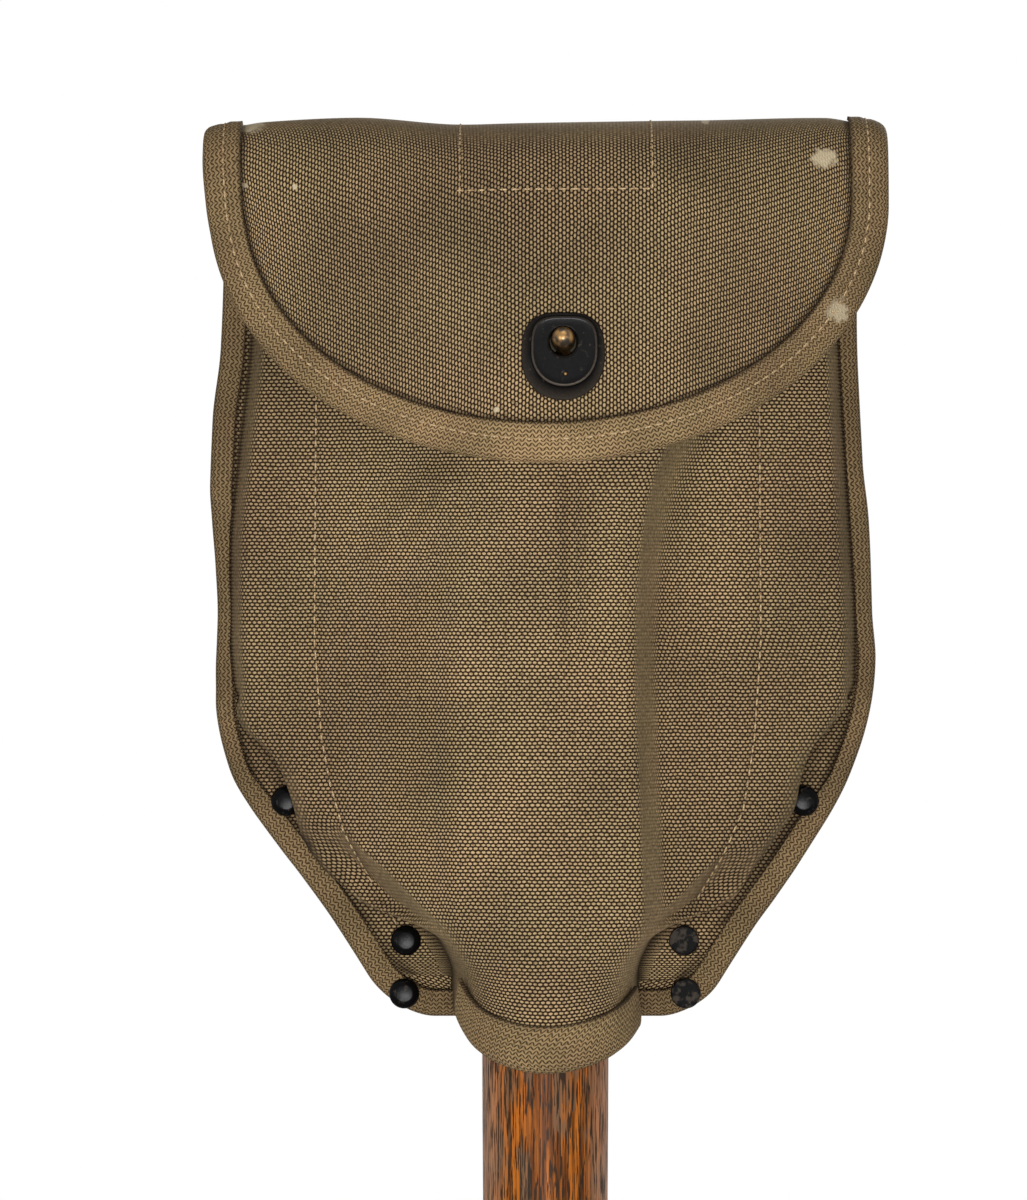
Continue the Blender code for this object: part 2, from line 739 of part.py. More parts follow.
def build_snap(front, lining, flap):
    x, z = SNAP_SIDE, Z_SNAP
    face = front_depth(x, z)
    shank = 1.8 * MM
    ball = STUD_DIAMETER / 2
    flap_front = flap_depth(0.0, z)
    washer = face - CANVAS - 3 * GAP - LINING - GAP
    flange = face + GAP
    tail = washer - 0.8 * MM - GAP
    centre = flap_front + GAP + PLATE_BASE + PLATE_RAISE + 1.6 * MM
    profile = [(0.0, centre + ball)]
    profile += [(ball * math.sin(a), centre + ball * math.cos(a)) for a in (0.4, 0.8, 1.2, 1.6, 2.0)]
    neck = ball * 0.74
    profile += [(neck, centre - 2.1 * MM), (neck, flange + STUD_FLANGE), (5.5 * MM, flange + STUD_FLANGE)]
    profile += [(5.5 * MM, flange), (shank, flange), (shank, tail), (2.8 * MM, tail)]
    profile += [(2.8 * MM, tail - 0.6 * MM), (0.0, tail - 0.6 * MM)]
    turned("snap_stud", profile, (x, Y_FLANGE, z), brass(), 14, True)
    ring = [(shank + GAP, washer), (4.5 * MM, washer), (4.5 * MM, washer - 0.8 * MM)]
    ring += [(shank + GAP, washer - 0.8 * MM)]
    turned("stud_washer", ring, (x, Y_FLANGE, z), brass(), 14, True, True)
    through = at(x, face - 8 * MM, z), at(x, face + 4 * MM, z)
    drill(front, "stud_hole", *through, shank + GAP)
    drill(lining, "stud_hole_lining", *through, shank + GAP)
    bore = ball + 0.7 * MM
    inner = flap_depth(SNAP_SIDE + 9 * MM, z) - CANVAS - GAP
    clinch = [(bore, inner), (9 * MM, inner), (9 * MM, inner - CLINCH), (bore, inner - CLINCH)]
    turned("socket_clinch", clinch, (x, Y_FLANGE, z), japanned(), 18, True, True)
    drill(flap, "flap_hole", at(x, face, z), at(x, flap_front + 8 * MM, z), bore + GAP)
    build_socket_plate(x, flap_front + GAP, bore)
    build_socket_spring(x, flap_front + GAP + 0.8 * MM, neck)


def plate_outline(scale):
    made = []
    for i in range(28):
        a = 2 * math.pi * i / 28
        px = math.copysign(abs(math.cos(a)) ** 0.8, math.cos(a))
        pz = math.copysign(abs(math.sin(a)) ** 0.8, math.sin(a))
        made.append((px * (1 + 0.1 * pz) * PLATE_WIDTH / 2 * scale, pz * PLATE_HEIGHT / 2 * scale))
    return made


def build_socket_plate(x, depth, bore):
    bm = bmesh.new()
    face = bm.faces.new([bm.verts.new((px, pz, 0.0)) for px, pz in plate_outline(1.0)])
    for shrink, rise in ((0.96, PLATE_BASE), (0.84, 0.2 * MM), (0.95, PLATE_RAISE - 0.2 * MM)):
        grown = bmesh.ops.extrude_face_region(bm, geom=[face])["geom"]
        verts = [v for v in grown if isinstance(v, bmesh.types.BMVert)]
        bmesh.ops.translate(bm, verts=verts, vec=(0.0, 0.0, rise))
        bmesh.ops.scale(bm, verts=verts, vec=(shrink, shrink, 1.0))
        if rise != PLATE_BASE:
            bmesh.ops.delete(bm, geom=[face], context="FACES_ONLY")
        face = [f for f in grown if isinstance(f, bmesh.types.BMFace)][0]
    item = shown("socket_plate", mesh_from(bm, "socket_plate"), japanned())
    item.location = at(x, depth, Z_PLATE)
    item.rotation_euler = (math.pi / 2, 0.0, 0.0)
    behind = at(x, depth - 2 * MM, Z_SNAP)
    drill(item, "plate_bore", behind, at(x, depth + 9 * MM, Z_SNAP), bore)
    drill(item, "plate_room", behind, at(x, depth + 1.6 * MM, Z_SNAP), bore + 1.6 * MM)


def build_socket_spring(x, depth, neck):
    radius = 0.45 * MM
    ring = neck + GAP + radius
    points = [at(x + px, depth, Z_SNAP + pz) for px, pz in arc((0.0, 0.0), ring, -50, 230, 16)]
    wire("socket_spring", points, radius, steel(), 1)


def build_hanger():
    half = HOOK_SPACING / 2
    top = WIRE / 2 - HOOK_BEND
    hook = [Vector((half, HOOK_BEND, top - PRONG))]
    hook += [Vector((half, dy, top + dz)) for dy, dz in arc((0.0, 0.0), HOOK_BEND, 0, 180, 10)]
    corner = HOOK_BEND
    hook += [Vector((dx, Y_WIRE, dz)) for dx, dz in arc((half - corner, Z_BAR + corner), corner, 0, -90, 6)]
    mirrored = [Vector((-p.x, p.y, p.z)) for p in reversed(hook)]
    wire("hanger_hook", hook + mirrored, WIRE / 2, steel(), 2)

    strip = Y_BACK + GAP + WEBBING / 2
    fold = WIRE / 2 + GAP + WEBBING / 2
    outer = strip + WEBBING + GAP
    path = [Vector((0.0, strip, Z_TAB_END)), Vector((0.0, strip, Z_BAR))]
    path += [Vector((0.0, dy, dz)) for dy, dz in arc((Y_WIRE, Z_BAR), fold, 170, 0, 8)]
    path += [Vector((0.0, Y_WIRE + fold, Z_BAR - 3 * MM))]
    front = Y_WIRE + fold
    for i in range(1, 6):
        t = i / 5
        path.append(Vector((0.0, front + (outer - front) * ease(t), Z_BAR - 3 * MM - 11 * MM * t)))
    path.append(Vector((0.0, outer, Z_TAB_END)))
    width = half - corner - GAP

    def place(u, v):
        spot, heading = path[round(v * (len(path) - 1))], Vector((1.0, 0.0, 0.0))
        return spot + heading * (2 * u - 1) * width

    item = sheet("hanger_tab", 1, len(path) - 1, place, WEBBING, tape(), (0, 0, 1))
    item.modifiers["thickness"].offset = 0.0


def build_blade():
    end = Z_TIP + 0.6 * MM

    def place(u, v):
        z = Z_BLADE_TOP + (end - Z_BLADE_TOP) * v**1.35
        x = (2 * u - 1) * blade_edge(z)
        return at(x, blade_depth(x, z) + BLADE_STEEL, z)

    return sheet("blade", 8, 12, place, BLADE_STEEL, steel(), (0, -1, 0))


def build_bracket():
    foot = Z_BLADE_TOP - STRAP_REACH
    head = Z_PIN + EAR_HALF
    half = STRAP_WIDTH / 2
    low = (-half, Y_FLANGE - D_STRAP - STRAP, foot)
    high = (half, Y_FLANGE - D_STRAP, head)
    strap = shown("hinge_bracket", box_mesh("hinge_bracket", low, high), steel())
    base = Z_BLADE_TOP + 1.0 * MM
    first = 180 + math.degrees(math.asin((Z_PIN - base) / KNUCKLE))
    last = 180 - math.degrees(math.asin(EAR_HALF / KNUCKLE))
    outline = [(D_STRAP + 0.8 * MM, base)]
    outline += arc((D_PIN, Z_PIN), KNUCKLE, first - 360, last, 14)
    outline += [(D_STRAP + 0.8 * MM, head)]
    inner = TONGUE_WIDTH / 2 + GAP
    for word, side in (("left", -1), ("right", 1)):
        name = "ear_" + word
        data = plate_mesh(name, outline, side * inner, side * (inner + EAR))
        bm = bmesh.new()
        bm.from_mesh(data)
        for vert in bm.verts:
            vert.co = at(vert.co.z, vert.co.x, vert.co.y)
        combine(strap, helper(name, mesh_from(bm, name)), "UNION")
    reach = inner + EAR + 5 * MM
    drill(strap, "bracket_bore", at(-reach, D_PIN, Z_PIN), at(reach, D_PIN, Z_PIN), PIN_DIAMETER / 2 + GAP)
    return strap


def build_blade_rivets(blade, strap):
    head = BLADE_RIVET_DIAMETER / 2
    shank = 2.0 * MM
    front = D_BLADE_FRONT + GAP
    profile = [(0.0, front + BLADE_RIVET_HEAD), (head * 0.6, front + BLADE_RIVET_HEAD * 0.8)]
    profile += [(head, front), (shank, front), (shank, D_STRAP - GAP)]
    profile += [(head * 0.8, D_STRAP - GAP), (head * 0.8, GAP), (0.0, GAP)]
    number = 0
    for z in (Z_BLADE_TOP - STRAP_REACH * 0.62, Z_BLADE_TOP - STRAP_REACH * 0.88):
        for x in (-STRAP_WIDTH * 0.27, STRAP_WIDTH * 0.27):
            number += 1
            name = f"blade_rivet_{number}"
            turned(name, profile, (x, Y_FLANGE, z), steel(), 10, True)
            ends = at(x, -2 * MM, z), at(x, D_BLADE_FRONT + 4 * MM, z)
            hole = helper(name + "_hole", rod_mesh(name + "_hole", *ends, shank + GAP, 12))
            combine(blade, hole, "DIFFERENCE")
            combine(strap, hole, "DIFFERENCE")


def build_hinge_pin():
    inner = TONGUE_WIDTH / 2 + GAP + EAR + GAP
    radius = PIN_DIAMETER / 2
    head = radius * 1.6
    profile = [(0.0, inner + 2 * MM), (head * 0.8, inner + 2 * MM), (head, inner + 1 * MM), (head, inner)]
    profile += [(radius, inner), (radius, -inner), (head, -inner), (head, -inner - 1 * MM)]
    profile += [(head * 0.8, -inner - 2 * MM), (0.0, -inner - 2 * MM)]
    item = turned("hinge_pin", profile, at(0.0, D_PIN, Z_PIN), steel(), 20)
    item.rotation_euler = (0.0, math.pi / 2, 0.0)


def build_socket():
    neck = NECK_DIAMETER / 2
    tube = TUBE_DIAMETER / 2
    bore = tube - TUBE_WALL
    top = Z_NUT - 0.4 * MM
    rim = Z_TUBE_END
    profile = [(0.0, top), (neck - 1 * MM, top), (neck, top - 1 * MM), (neck, Z_NUT - NECK_LENGTH)]
    profile += [(tube, Z_TUBE), (tube, rim), (bore, rim), (bore, Z_TUBE), (0.0, Z_TUBE)]
    axis = (0.0, Y_FLANGE - D_AXIS, 0.0)
    item = turned("handle_socket", profile, axis, steel(), 22)
    eye = KNUCKLE - 1 * MM
    low = top - 4 * MM
    outline = arc((D_PIN, Z_PIN), eye, -35, 205, 16)
    root = Z_NUT + 0.5 * MM
    outline += [(D_AXIS - neck * 0.7, root), (D_AXIS - neck * 0.7, low)]
    outline += [(D_AXIS + neck * 0.45, low), (D_AXIS + neck * 0.45, root)]
    half = TONGUE_WIDTH / 2
    bm = bmesh.new()
    bm.from_mesh(plate_mesh("socket_tongue", outline, -half, half))
    for vert in bm.verts:
        vert.co = at(vert.co.z, vert.co.x, vert.co.y)
    combine(item, helper("socket_tongue", mesh_from(bm, "socket_tongue")), "UNION")
    reach = half + 5 * MM
    drill(item, "tongue_bore", at(-reach, D_PIN, Z_PIN), at(reach, D_PIN, Z_PIN), PIN_DIAMETER / 2 + GAP)
    return item


def build_handle(socket):
    tenon = TUBE_DIAMETER / 2 - TUBE_WALL - GAP
    haft = HAFT_DIAMETER / 2
    butt = BUTT_DIAMETER / 2
    shoulder = Z_TUBE_END - GAP
    span = shoulder - Z_BUTT
    profile = [(0.0, Z_TUBE - 2 * MM), (tenon, Z_TUBE - 2 * MM), (tenon, shoulder)]
    profile += [(haft + 0.4 * MM, shoulder), (haft, shoulder - span * 0.3)]
    profile += [(haft - 0.5 * MM, shoulder - span * 0.5)]
    profile += [(haft, shoulder - span * 0.75), (butt, Z_BUTT + 24 * MM), (butt, Z_BUTT + 12 * MM)]
    profile += [(butt * 0.93, Z_BUTT + 5 * MM), (butt * 0.7, Z_BUTT + 1 * MM), (0.0, Z_BUTT)]
    axis = (0.0, Y_FLANGE - D_AXIS, 0.0)
    item = turned("handle", profile, axis, wood(), 22)
    z = (Z_TUBE + Z_TUBE_END) / 2
    radius = 2.2 * MM
    reach = TUBE_DIAMETER / 2 + 0.6 * MM
    ends = at(-reach - 4 * MM, D_AXIS, z), at(reach + 4 * MM, D_AXIS, z)
    hole = helper("cross_hole", rod_mesh("cross_hole", *ends, radius + GAP, 14))
    combine(item, hole, "DIFFERENCE")
    combine(socket, hole, "DIFFERENCE")
    ends = at(-reach, D_AXIS, z), at(reach, D_AXIS, z)
    shown("cross_pin", rod_mesh("cross_pin", *ends, radius, 14), steel())


def build_lock_nut():
    outline = []
    count = NUT_FLUTES * 6
    for i in range(count):
        a = 2 * math.pi * i / count
        dip = max(math.cos(NUT_FLUTES * a), 0.0) * NUT_FLUTE_DEPTH
        radius = NUT_DIAMETER / 2 - dip
        outline.append((radius * math.cos(a), radius * math.sin(a)))
    data = plate_mesh("lock_nut", outline, Z_NUT - NUT_HEIGHT, Z_NUT)
    item = shown("lock_nut", data, steel())
    item.location = (0.0, Y_FLANGE - D_AXIS, 0.0)
    ends = at(0.0, D_AXIS, Z_NUT - NUT_HEIGHT - 2 * MM), at(0.0, D_AXIS, Z_NUT + 2 * MM)
    drill(item, "nut_bore", *ends, NECK_DIAMETER / 2 + GAP, 28)


def joint_axis(name, spot, members):
    """An empty on a joint's axis, which carries the pieces that move about it and their cutters."""
    pivot = bpy.data.objects.new(name, None)
    pivot.empty_display_size = 20 * MM
    pivot.location = spot
    bpy.data.collections[PARTS].objects.link(pivot)
    bpy.context.view_layer.update()
    carried = [bpy.data.objects[member] for member in members]
    carried += [step.object for item in carried for step in item.modifiers if step.type == "BOOLEAN"]
    for item in carried:
        item.parent = pivot
        item.matrix_parent_inverse = pivot.matrix_world.inverted()
    return pivot


def build_joints():
    haft = (0.0, Y_FLANGE - D_AXIS, 0.0)
    shovel = ["blade", "hinge_bracket", "hinge_pin", "handle_socket", "handle", "cross_pin"]
    shovel += [f"blade_rivet_{number}" for number in range(1, 5)]
    draw = joint_axis("shovel_draw", haft, shovel)
    nut = joint_axis("lock_nut_turn", haft, ["lock_nut"])
    nut.parent = draw
    nut.matrix_parent_inverse = draw.matrix_world.inverted()
    cloth = ["flap", "flap_binding", "flap_patch"]
    snap = ["socket_plate", "socket_clinch", "socket_spring"]
    joint_axis("flap_open", (0.0, Y_FOLD, Z_TOP - CANVAS / 2), cloth + snap)


def main():
    clear_scene()
    back = build_back_panel()
    front = build_front_panel()
    lining = build_front_lining()
    bindings = {
        -1: build_side_binding("side_binding_left", -1),
        1: build_side_binding("side_binding_right", 1),
    }
    build_bottom_binding()
    build_mouth_binding()
    build_loop_binding()
    flap = build_flap()
    build_flap_binding()
    build_flap_patch()
    build_carrier_rivets(front, back, bindings)
    build_snap(front, lining, flap)
    build_hanger()
    blade = build_blade()
    strap = build_bracket()
    build_blade_rivets(blade, strap)
    build_hinge_pin()
    build_handle(build_socket())
    build_lock_nut()
    build_joints()


main()
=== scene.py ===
"""Looks of a folding camp shovel in its canvas carrier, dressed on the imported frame.

Metres, +Z up, and the front faces -Y. Laid out as a Blender add-on and run as a script.
"""

import math

import bmesh
import bpy
from mathutils import Matrix, Vector, kdtree, noise


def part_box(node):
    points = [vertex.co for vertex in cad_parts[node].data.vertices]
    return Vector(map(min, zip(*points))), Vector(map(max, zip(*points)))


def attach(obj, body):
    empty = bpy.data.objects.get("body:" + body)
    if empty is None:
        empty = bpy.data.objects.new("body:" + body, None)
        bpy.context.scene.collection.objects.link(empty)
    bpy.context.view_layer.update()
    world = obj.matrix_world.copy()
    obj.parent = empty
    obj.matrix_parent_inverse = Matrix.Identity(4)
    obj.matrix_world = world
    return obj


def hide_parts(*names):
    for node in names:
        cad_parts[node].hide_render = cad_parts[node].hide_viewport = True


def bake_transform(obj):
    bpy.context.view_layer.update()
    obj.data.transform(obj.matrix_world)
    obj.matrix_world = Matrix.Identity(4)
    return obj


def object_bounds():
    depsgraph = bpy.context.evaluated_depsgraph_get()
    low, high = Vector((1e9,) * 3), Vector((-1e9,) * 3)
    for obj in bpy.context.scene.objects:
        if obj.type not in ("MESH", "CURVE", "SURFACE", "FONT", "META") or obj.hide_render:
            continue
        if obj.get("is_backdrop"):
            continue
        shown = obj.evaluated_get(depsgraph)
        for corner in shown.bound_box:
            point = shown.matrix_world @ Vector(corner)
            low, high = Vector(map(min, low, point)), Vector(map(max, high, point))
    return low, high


bl_info = {
    "name": "Camp Shovel Looks",
    "version": (1, 0, 0),
    "blender": (4, 5, 0),
    "location": "3D View > Sidebar > Camp Shovel",
    "description": "Dresses the packed camp shovel and its canvas carrier",
    "category": "Object",
}

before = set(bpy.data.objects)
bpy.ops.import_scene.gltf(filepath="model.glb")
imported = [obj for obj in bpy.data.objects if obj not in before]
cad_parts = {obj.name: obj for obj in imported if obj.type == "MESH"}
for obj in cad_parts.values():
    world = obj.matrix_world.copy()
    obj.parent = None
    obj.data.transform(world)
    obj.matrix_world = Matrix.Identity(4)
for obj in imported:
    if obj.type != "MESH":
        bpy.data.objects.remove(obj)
CAD_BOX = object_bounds()

MM = 0.001


def low(node):
    return Vector(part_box(node)[0])


def high(node):
    return Vector(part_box(node)[1])


def middle(node):
    return (low(node) + high(node)) / 2


# Places that the frame gives
FLANGE_Y = low("back_panel").y
BACK_Y = high("back_panel").y
FOLD_Y = (FLANGE_Y + BACK_Y) / 2
AXIS_Y = middle("lock_nut").y
TOP_Z = high("flap").z
MOUTH_Z = round(high("mouth_binding").z, 5)
TIP_Z = low("blade").z - 0.6 * MM
BOTTOM_Z = low("side_binding_left").z
LOOP_Z = low("loop_binding").z
BUTT_Z = low("handle").z
SNAP = middle("snap_stud")
PLATE = middle("socket_plate")
FLAP_HALF = high("flap_binding").x
FLAP_FOOT_Z = low("flap_binding").z


def length(name, description, default):
    return bpy.props.FloatProperty(
        name=name, description=description, default=default, precision=5, unit="LENGTH"
    )


def number(name, description, default):
    return bpy.props.FloatProperty(name=name, description=description, default=default)


def colour(name, description, red, green, blue):
    """A colour given as on a screen, 0 to 255, and kept linear as Blender shades it."""
    linear = [((v / 255 + 0.055) / 1.055) ** 2.4 for v in (red, green, blue)]
    return bpy.props.FloatVectorProperty(
        name=name, description=description, default=linear, size=3, subtype="COLOR", min=0.0, max=1.0
    )


class CarrierSizes(bpy.types.PropertyGroup):
    """Sizes of the canvas carrier."""

    gap: length("Gap", "Clearance between layers of cloth", 0.3 * MM)
    canvas: length("Canvas", "Thickness of the canvas", 1.5 * MM)
    lining: length("Lining", "Thickness of the lining", 1.0 * MM)
    patch: length("Patch", "Thickness of the flap's patch", 1.2 * MM)
    tape: length("Tape", "Thickness of the binding tape", 1.0 * MM)
    webbing: length("Webbing", "Thickness of the hook's webbing", 1.6 * MM)
    edge_tape_width: length("Edge tape", "Width that the edge tape shows on the back", 9.0 * MM)
    flap_tape_width: length("Flap tape", "Width that the flap's tape shows", 10.5 * MM)
    mouth_tape_width: length("Mouth tape", "Width that the mouth's tape shows", 9.0 * MM)
    loop_tape_width: length("Loop tape", "Width of the tape that bands the haft", 12.5 * MM)
    blade_point: length("Blade point", "Length of the blade's tapering part", 107.0 * MM)
    flank_depth: length("Flank depth", "Depth of the dome outside the blade, on the flanks", 9.0 * MM)
    loop_half: length("Loop half width", "Half the width of the foot that bands the haft", 24.5 * MM)
    wall_run: length("Wall run", "Width over which the pocket's wall rises", 4.5 * MM)
    side_half: length("Side half width", "Half the carrier's width at the mouth", 84.0 * MM)
    side_belly: length("Side belly", "How far the sides swell lower down", 3.0 * MM)
    flank_foot: length("Flank foot", "Half width where the flanks reach the bottom", 41.5 * MM)
    flank_rise: length("Flank rise", "Height of the slanting flanks", 73.4 * MM)
    flank_round: length("Flank round", "Softness of the corner above the flanks", 14.0 * MM)
    corner: length("Corner", "Radius of the bottom corners", 11.0 * MM)
    loop_rise: length("Loop rise", "How far the foot's ends rise", 7.0 * MM)
    dome_nut: length("Dome at the nut", "Depth of the dome over the lock nut", 55.5 * MM)
    dome_haft: length("Dome at the haft", "Depth of the dome over the haft", 52.1 * MM)
    flap_straight: length("Flap straight", "Length of the flap's straight sides", 22.0 * MM)
    roof_squareness: number("Roof squareness", "How crisply the flap turns over the top", 3.2)
    wrinkle: length("Wrinkle", "Height of the canvas's slight waves", 0.5 * MM)
    stitch: length("Stitch", "Length of one stitch", 2.3 * MM)
    stitch_pitch: length("Stitch pitch", "Distance from stitch to stitch", 3.1 * MM)
    thread: length("Thread", "Thickness of the sewing thread", 0.55 * MM)


class Finishes(bpy.types.PropertyGroup):
    """Colours of the finishes."""

    canvas_yarn: colour("Canvas yarn", "Where the yarn rises to the surface", 222, 192, 146)
    canvas_gap: colour("Canvas gap", "Between the yarns", 36, 23, 9)
    canvas_green: colour("Canvas green", "Greenish patches of the canvas", 114, 99, 54)
    canvas_brown: colour("Canvas brown", "Brownish patches of the canvas", 138, 103, 68)
    tape_yarn: colour("Tape yarn", "Raised yarns of the tape", 168, 142, 104)
    tape_gap: colour("Tape gap", "Between the tape's yarns", 46, 31, 15)
    thread: colour("Thread", "Sewing thread", 196, 174, 134)
    worn: colour("Worn cloth", "Pale worn spots of the cloth", 184, 168, 138)
    # Dirt and painted shade along the seams and along the tapes' lips
    soil: colour("Soil", "Dirt along the seams", 30, 20, 10)
    japan: colour("Black japan", "Snap and rivets", 9, 8, 8)
    # Also the painted highlight along the snap plate's lower rim
    japan_worn: colour("Worn japan", "Where the black has rubbed off", 74, 66, 58)
    steel: colour("Painted steel", "Blade, bracket, socket and nut", 66, 64, 50)
    steel_worn: colour("Bare steel", "Where the paint has worn through", 128, 124, 116)
    brass: colour("Aged brass", "Stud of the snap", 150, 116, 74)
    wood: colour("Varnished wood", "Body of the haft", 176, 99, 30)
    wood_dark: colour("Dark grain", "Late wood of the haft", 94, 50, 14)
    wood_pore: colour("Open pores", "Pores of the haft's grain", 42, 32, 22)
    wood_grey: colour("Grey wood", "Weathered patches of the haft", 100, 82, 64)
    # Painted sheen on the haft's left and right sides, where the varnish reflects the white surroundings
    wood_pale: colour("Pale wood", "Rubbed sides of the haft", 172, 128, 98)
    floor: colour("Floor", "Pale studio floor", 236, 236, 234)


class Studio(bpy.types.PropertyGroup):
    """Light and camera."""

    floor_radius: length("Floor radius", "Radius of the pale floor", 1.4)
    lens: number("Lens", "Focal length in millimetres", 272.0)
    camera_distance: length("Camera distance", "From the camera to the carrier", 2.403)
    picture_x: length("Picture centre X", "Where the picture's centre falls", -8.35 * MM)
    picture_z: length("Picture centre Z", "Where the picture's centre falls", -96.7 * MM)
    front_power: number("Front light", "Power of the low light in front in watts", 29.0)
    left_power: number("Left light", "Power of the low light on the left in watts", 7.5)
    right_power: number("Right light", "Power of the low light on the right in watts", 3.5)
    top_power: number("Top light", "Power of the top light in watts", 7.0)
    back_power: number("Back light", "Power of the light behind in watts", 24.0)
    sky: number("Sky", "Strength of the surrounding light", 0.27)


def clamp(t):
    return min(max(t, 0.0), 1.0)


def ease(t):
    """0 below 0, 1 above 1, smooth between."""
    t = clamp(t)
    return t * t * (3 - 2 * t)


def bell(off, width):
    """1 at 0, fading to each side over about width."""
    return math.exp(-((off / width) ** 2))


def between(start, end, share):
    return start + (end - start) * share


def smooth_min(a, b, blend):
    h = max(blend - abs(a - b), 0.0) / blend
    return min(a, b) - h * h * blend / 4


def waves(x, z, size, seed=0.0):
    """Gentle irregular waves, about -1 to 1, size metres across."""
    return noise.noise(Vector((x / size, seed, z / size)))


def ridge(x, z, start, end, width):
    """A soft fold along a line, 1 on it and fading to each side and towards its ends."""
    a, b = Vector(start), Vector(end)
    line = b - a
    t = (Vector((x, z)) - a).dot(line) / line.length_squared
    off = (Vector((x, z)) - a - line * t).length
    return bell(off, width) * ease((t + 0.15) / 0.3) * ease((1.15 - t) / 0.3)


class Section:
    """A smooth line through points that run from left to right, with no overshoot."""

    def __init__(self, points):
        self.points = points
        slopes = [(b[1] - a[1]) / (b[0] - a[0]) for a, b in zip(points, points[1:])]
        inner = [2 * a * b / (a + b) if a * b > 0 else 0.0 for a, b in zip(slopes, slopes[1:])]
        self.slopes = [slopes[0], *inner, slopes[-1]]

    def at(self, x):
        points = self.points
        x = min(max(x, points[0][0]), points[-1][0])
        i = 0
        while i < len(points) - 2 and x > points[i + 1][0]:
            i += 1
        (x0, y0), (x1, y1) = points[i], points[i + 1]
        span = x1 - x0
        t = (x - x0) / span
        rise = (2 * t**3 - 3 * t**2 + 1) * y0 + (3 * t**2 - 2 * t**3) * y1
        return rise + span * ((t**3 - 2 * t**2 + t) * self.slopes[i] + (t**3 - t**2) * self.slopes[i + 1])


def in_mm(points):
    return Section([(x * MM, y * MM) for x, y in points])


# Level of the top fold across the flap, and the hanging flap's section, as x and height or depth
TOP_FOLD = in_mm(
    [(-92, 25.9), (-83, 28.4), (-74, 30), (-50, 31), (-21, 28.9), (-6, 29.2)]
    + [(40, 30), (74, 31), (81, 30), (86, 28.9), (92, 25.9)]
)
FLAP_SECTION = in_mm(
    [(-91, 22), (-80, 25.5), (-70, 29), (-60, 33), (-50, 37.8), (-40, 43.2), (-30, 49), (-20, 54.4)]
    + [(-10, 58.6), (0, 59.7), (22, 59.7), (32, 58.2), (42, 53.4), (52, 47.2), (62, 40.8), (72, 34.4)]
    + [(82, 28.4), (91, 23)]
)
# Half widths going down: the seam at the dome's foot on each side, and the shoulder over the blade
SEAM_FOOT = [(179, 39), (183, 31.5), (188, 27.5), (193, 25.4), (199, 24.6), (230, 24.5)]
SEAM_LEFT = in_mm(
    [(0, 76.7), (28, 77.7), (60, 81.2), (85, 83.3), (105, 83.3), (118, 82.5), (124, 80.3), (128, 77)]
    + [(131.5, 73.5), (135, 69.8), (139, 66.3), (143, 64.2), (149.3, 61.6), (159, 58.8), (166, 54.5)]
    + [(174, 46.5), *SEAM_FOOT]
)
SEAM_RIGHT = in_mm(
    [(0, 76.7), (28, 77.7), (60, 79.5), (85, 81.2), (105, 82.2), (118, 82.0), (123, 79.8), (128, 73)]
    + [(133.7, 67.2), (138, 64.4), (144.6, 62), (151, 60.6), (159, 55.2), (168, 49.6)]
    + [(174, 46), *SEAM_FOOT]
)
SHOULDER = in_mm([(0, 95), (138, 95), (150, 63), (158, 56), (172, 41), (189.5, 28), (205, 40), (230, 40)])
# Width that the edge tape shows on the front, going down
TAPE_SHOWN = in_mm([(0, 6.5), (60, 6), (112, 4.6), (143, 4.8), (155, 6.2), (190, 7)])
# How far each side's edge stands out from the even outline, going down
EDGE_LEFT = in_mm(
    [(0, 1.2), (30, 1.4), (49, 2.7), (66, 2.6), (75, 1.8), (88, 0.5), (100, -0.1), (107, 0.1)]
    + [(119, 0.8), (126, 1.8), (138, 2.8), (144, 3.2), (151, 2.6), (157, 1.9), (163.5, 1.1)]
    + [(170, 0.1), (183, -1.1), (196, -1.3), (230, -1.3)]
)
EDGE_RIGHT = in_mm(
    [(0, -0.8), (35, -1.8), (60, -1.7), (75, -0.7), (100, -0.1), (112, 0.8), (138, 0.8), (147, 1), (167, 0.8)]
    + [(176, 0.2), (184, -0.6), (196, -0.8), (203, 0), (230, 0)]
)
# Folds of the front canvas in millimetres: from, to, half width and height
CREASES = (
    ((6.5, -62), (7, -112), 2.6, -2.6),
    ((17.5, -62), (17, -110), 5, 1.7),
    ((-26, -65), (-46, -89), 5, 2.4),
    ((-29, -68), (-38, -80), 2, -1.8),
)
# Stitch lines of the lining on the front canvas, in millimetres
STITCH_LINES = (
    ((-60, -12), (-60.7, -107), (-58.8, -133), (-56.5, -145), (-53, -157), (-49.5, -164), (-37.6, -186)),
    ((56, -12), (56.7, -107), (55, -133), (53.5, -143), (52, -152), (48, -161), (38, -179)),
)
# Pale worn spots of the flap and of its tape: x, z, half width and half height in millimetres
FLAP_SPOTS = (
    (73, 19, 3.6, 2.6), (-78.5, 28.6, 4.6, 2.4), (-12.7, -47.4, 0.9, 0.8),
    (42, 29, 1.2, 1.0), (-79, 12.2, 0.8, 0.7), (-65.7, 11.7, 0.7, 0.7),
)
TAPE_SPOTS = ((76.5, -21, 3.2, 3.4),)
# Steps along the flap's free edge
EDGE_STEPS = 400


def seam_half(x, z):
    """Half width of the seam at the dome's foot, on the side of x."""
    return (SEAM_LEFT if x < 0 else SEAM_RIGHT).at(-z)


def stitch_line_distance(x, z):
    """Distance to the nearest stitch line on its side, in millimetres."""
    spot, line, found = Vector((x, z)), STITCH_LINES[0 if x < 0 else 1], 1e9
    for a, b in zip(line, line[1:]):
        start, way = Vector(a), Vector(b) - Vector(a)
        t = clamp((spot - start).dot(way) / way.length_squared)
        found = min(found, (spot - start - way * t).length)
    return found


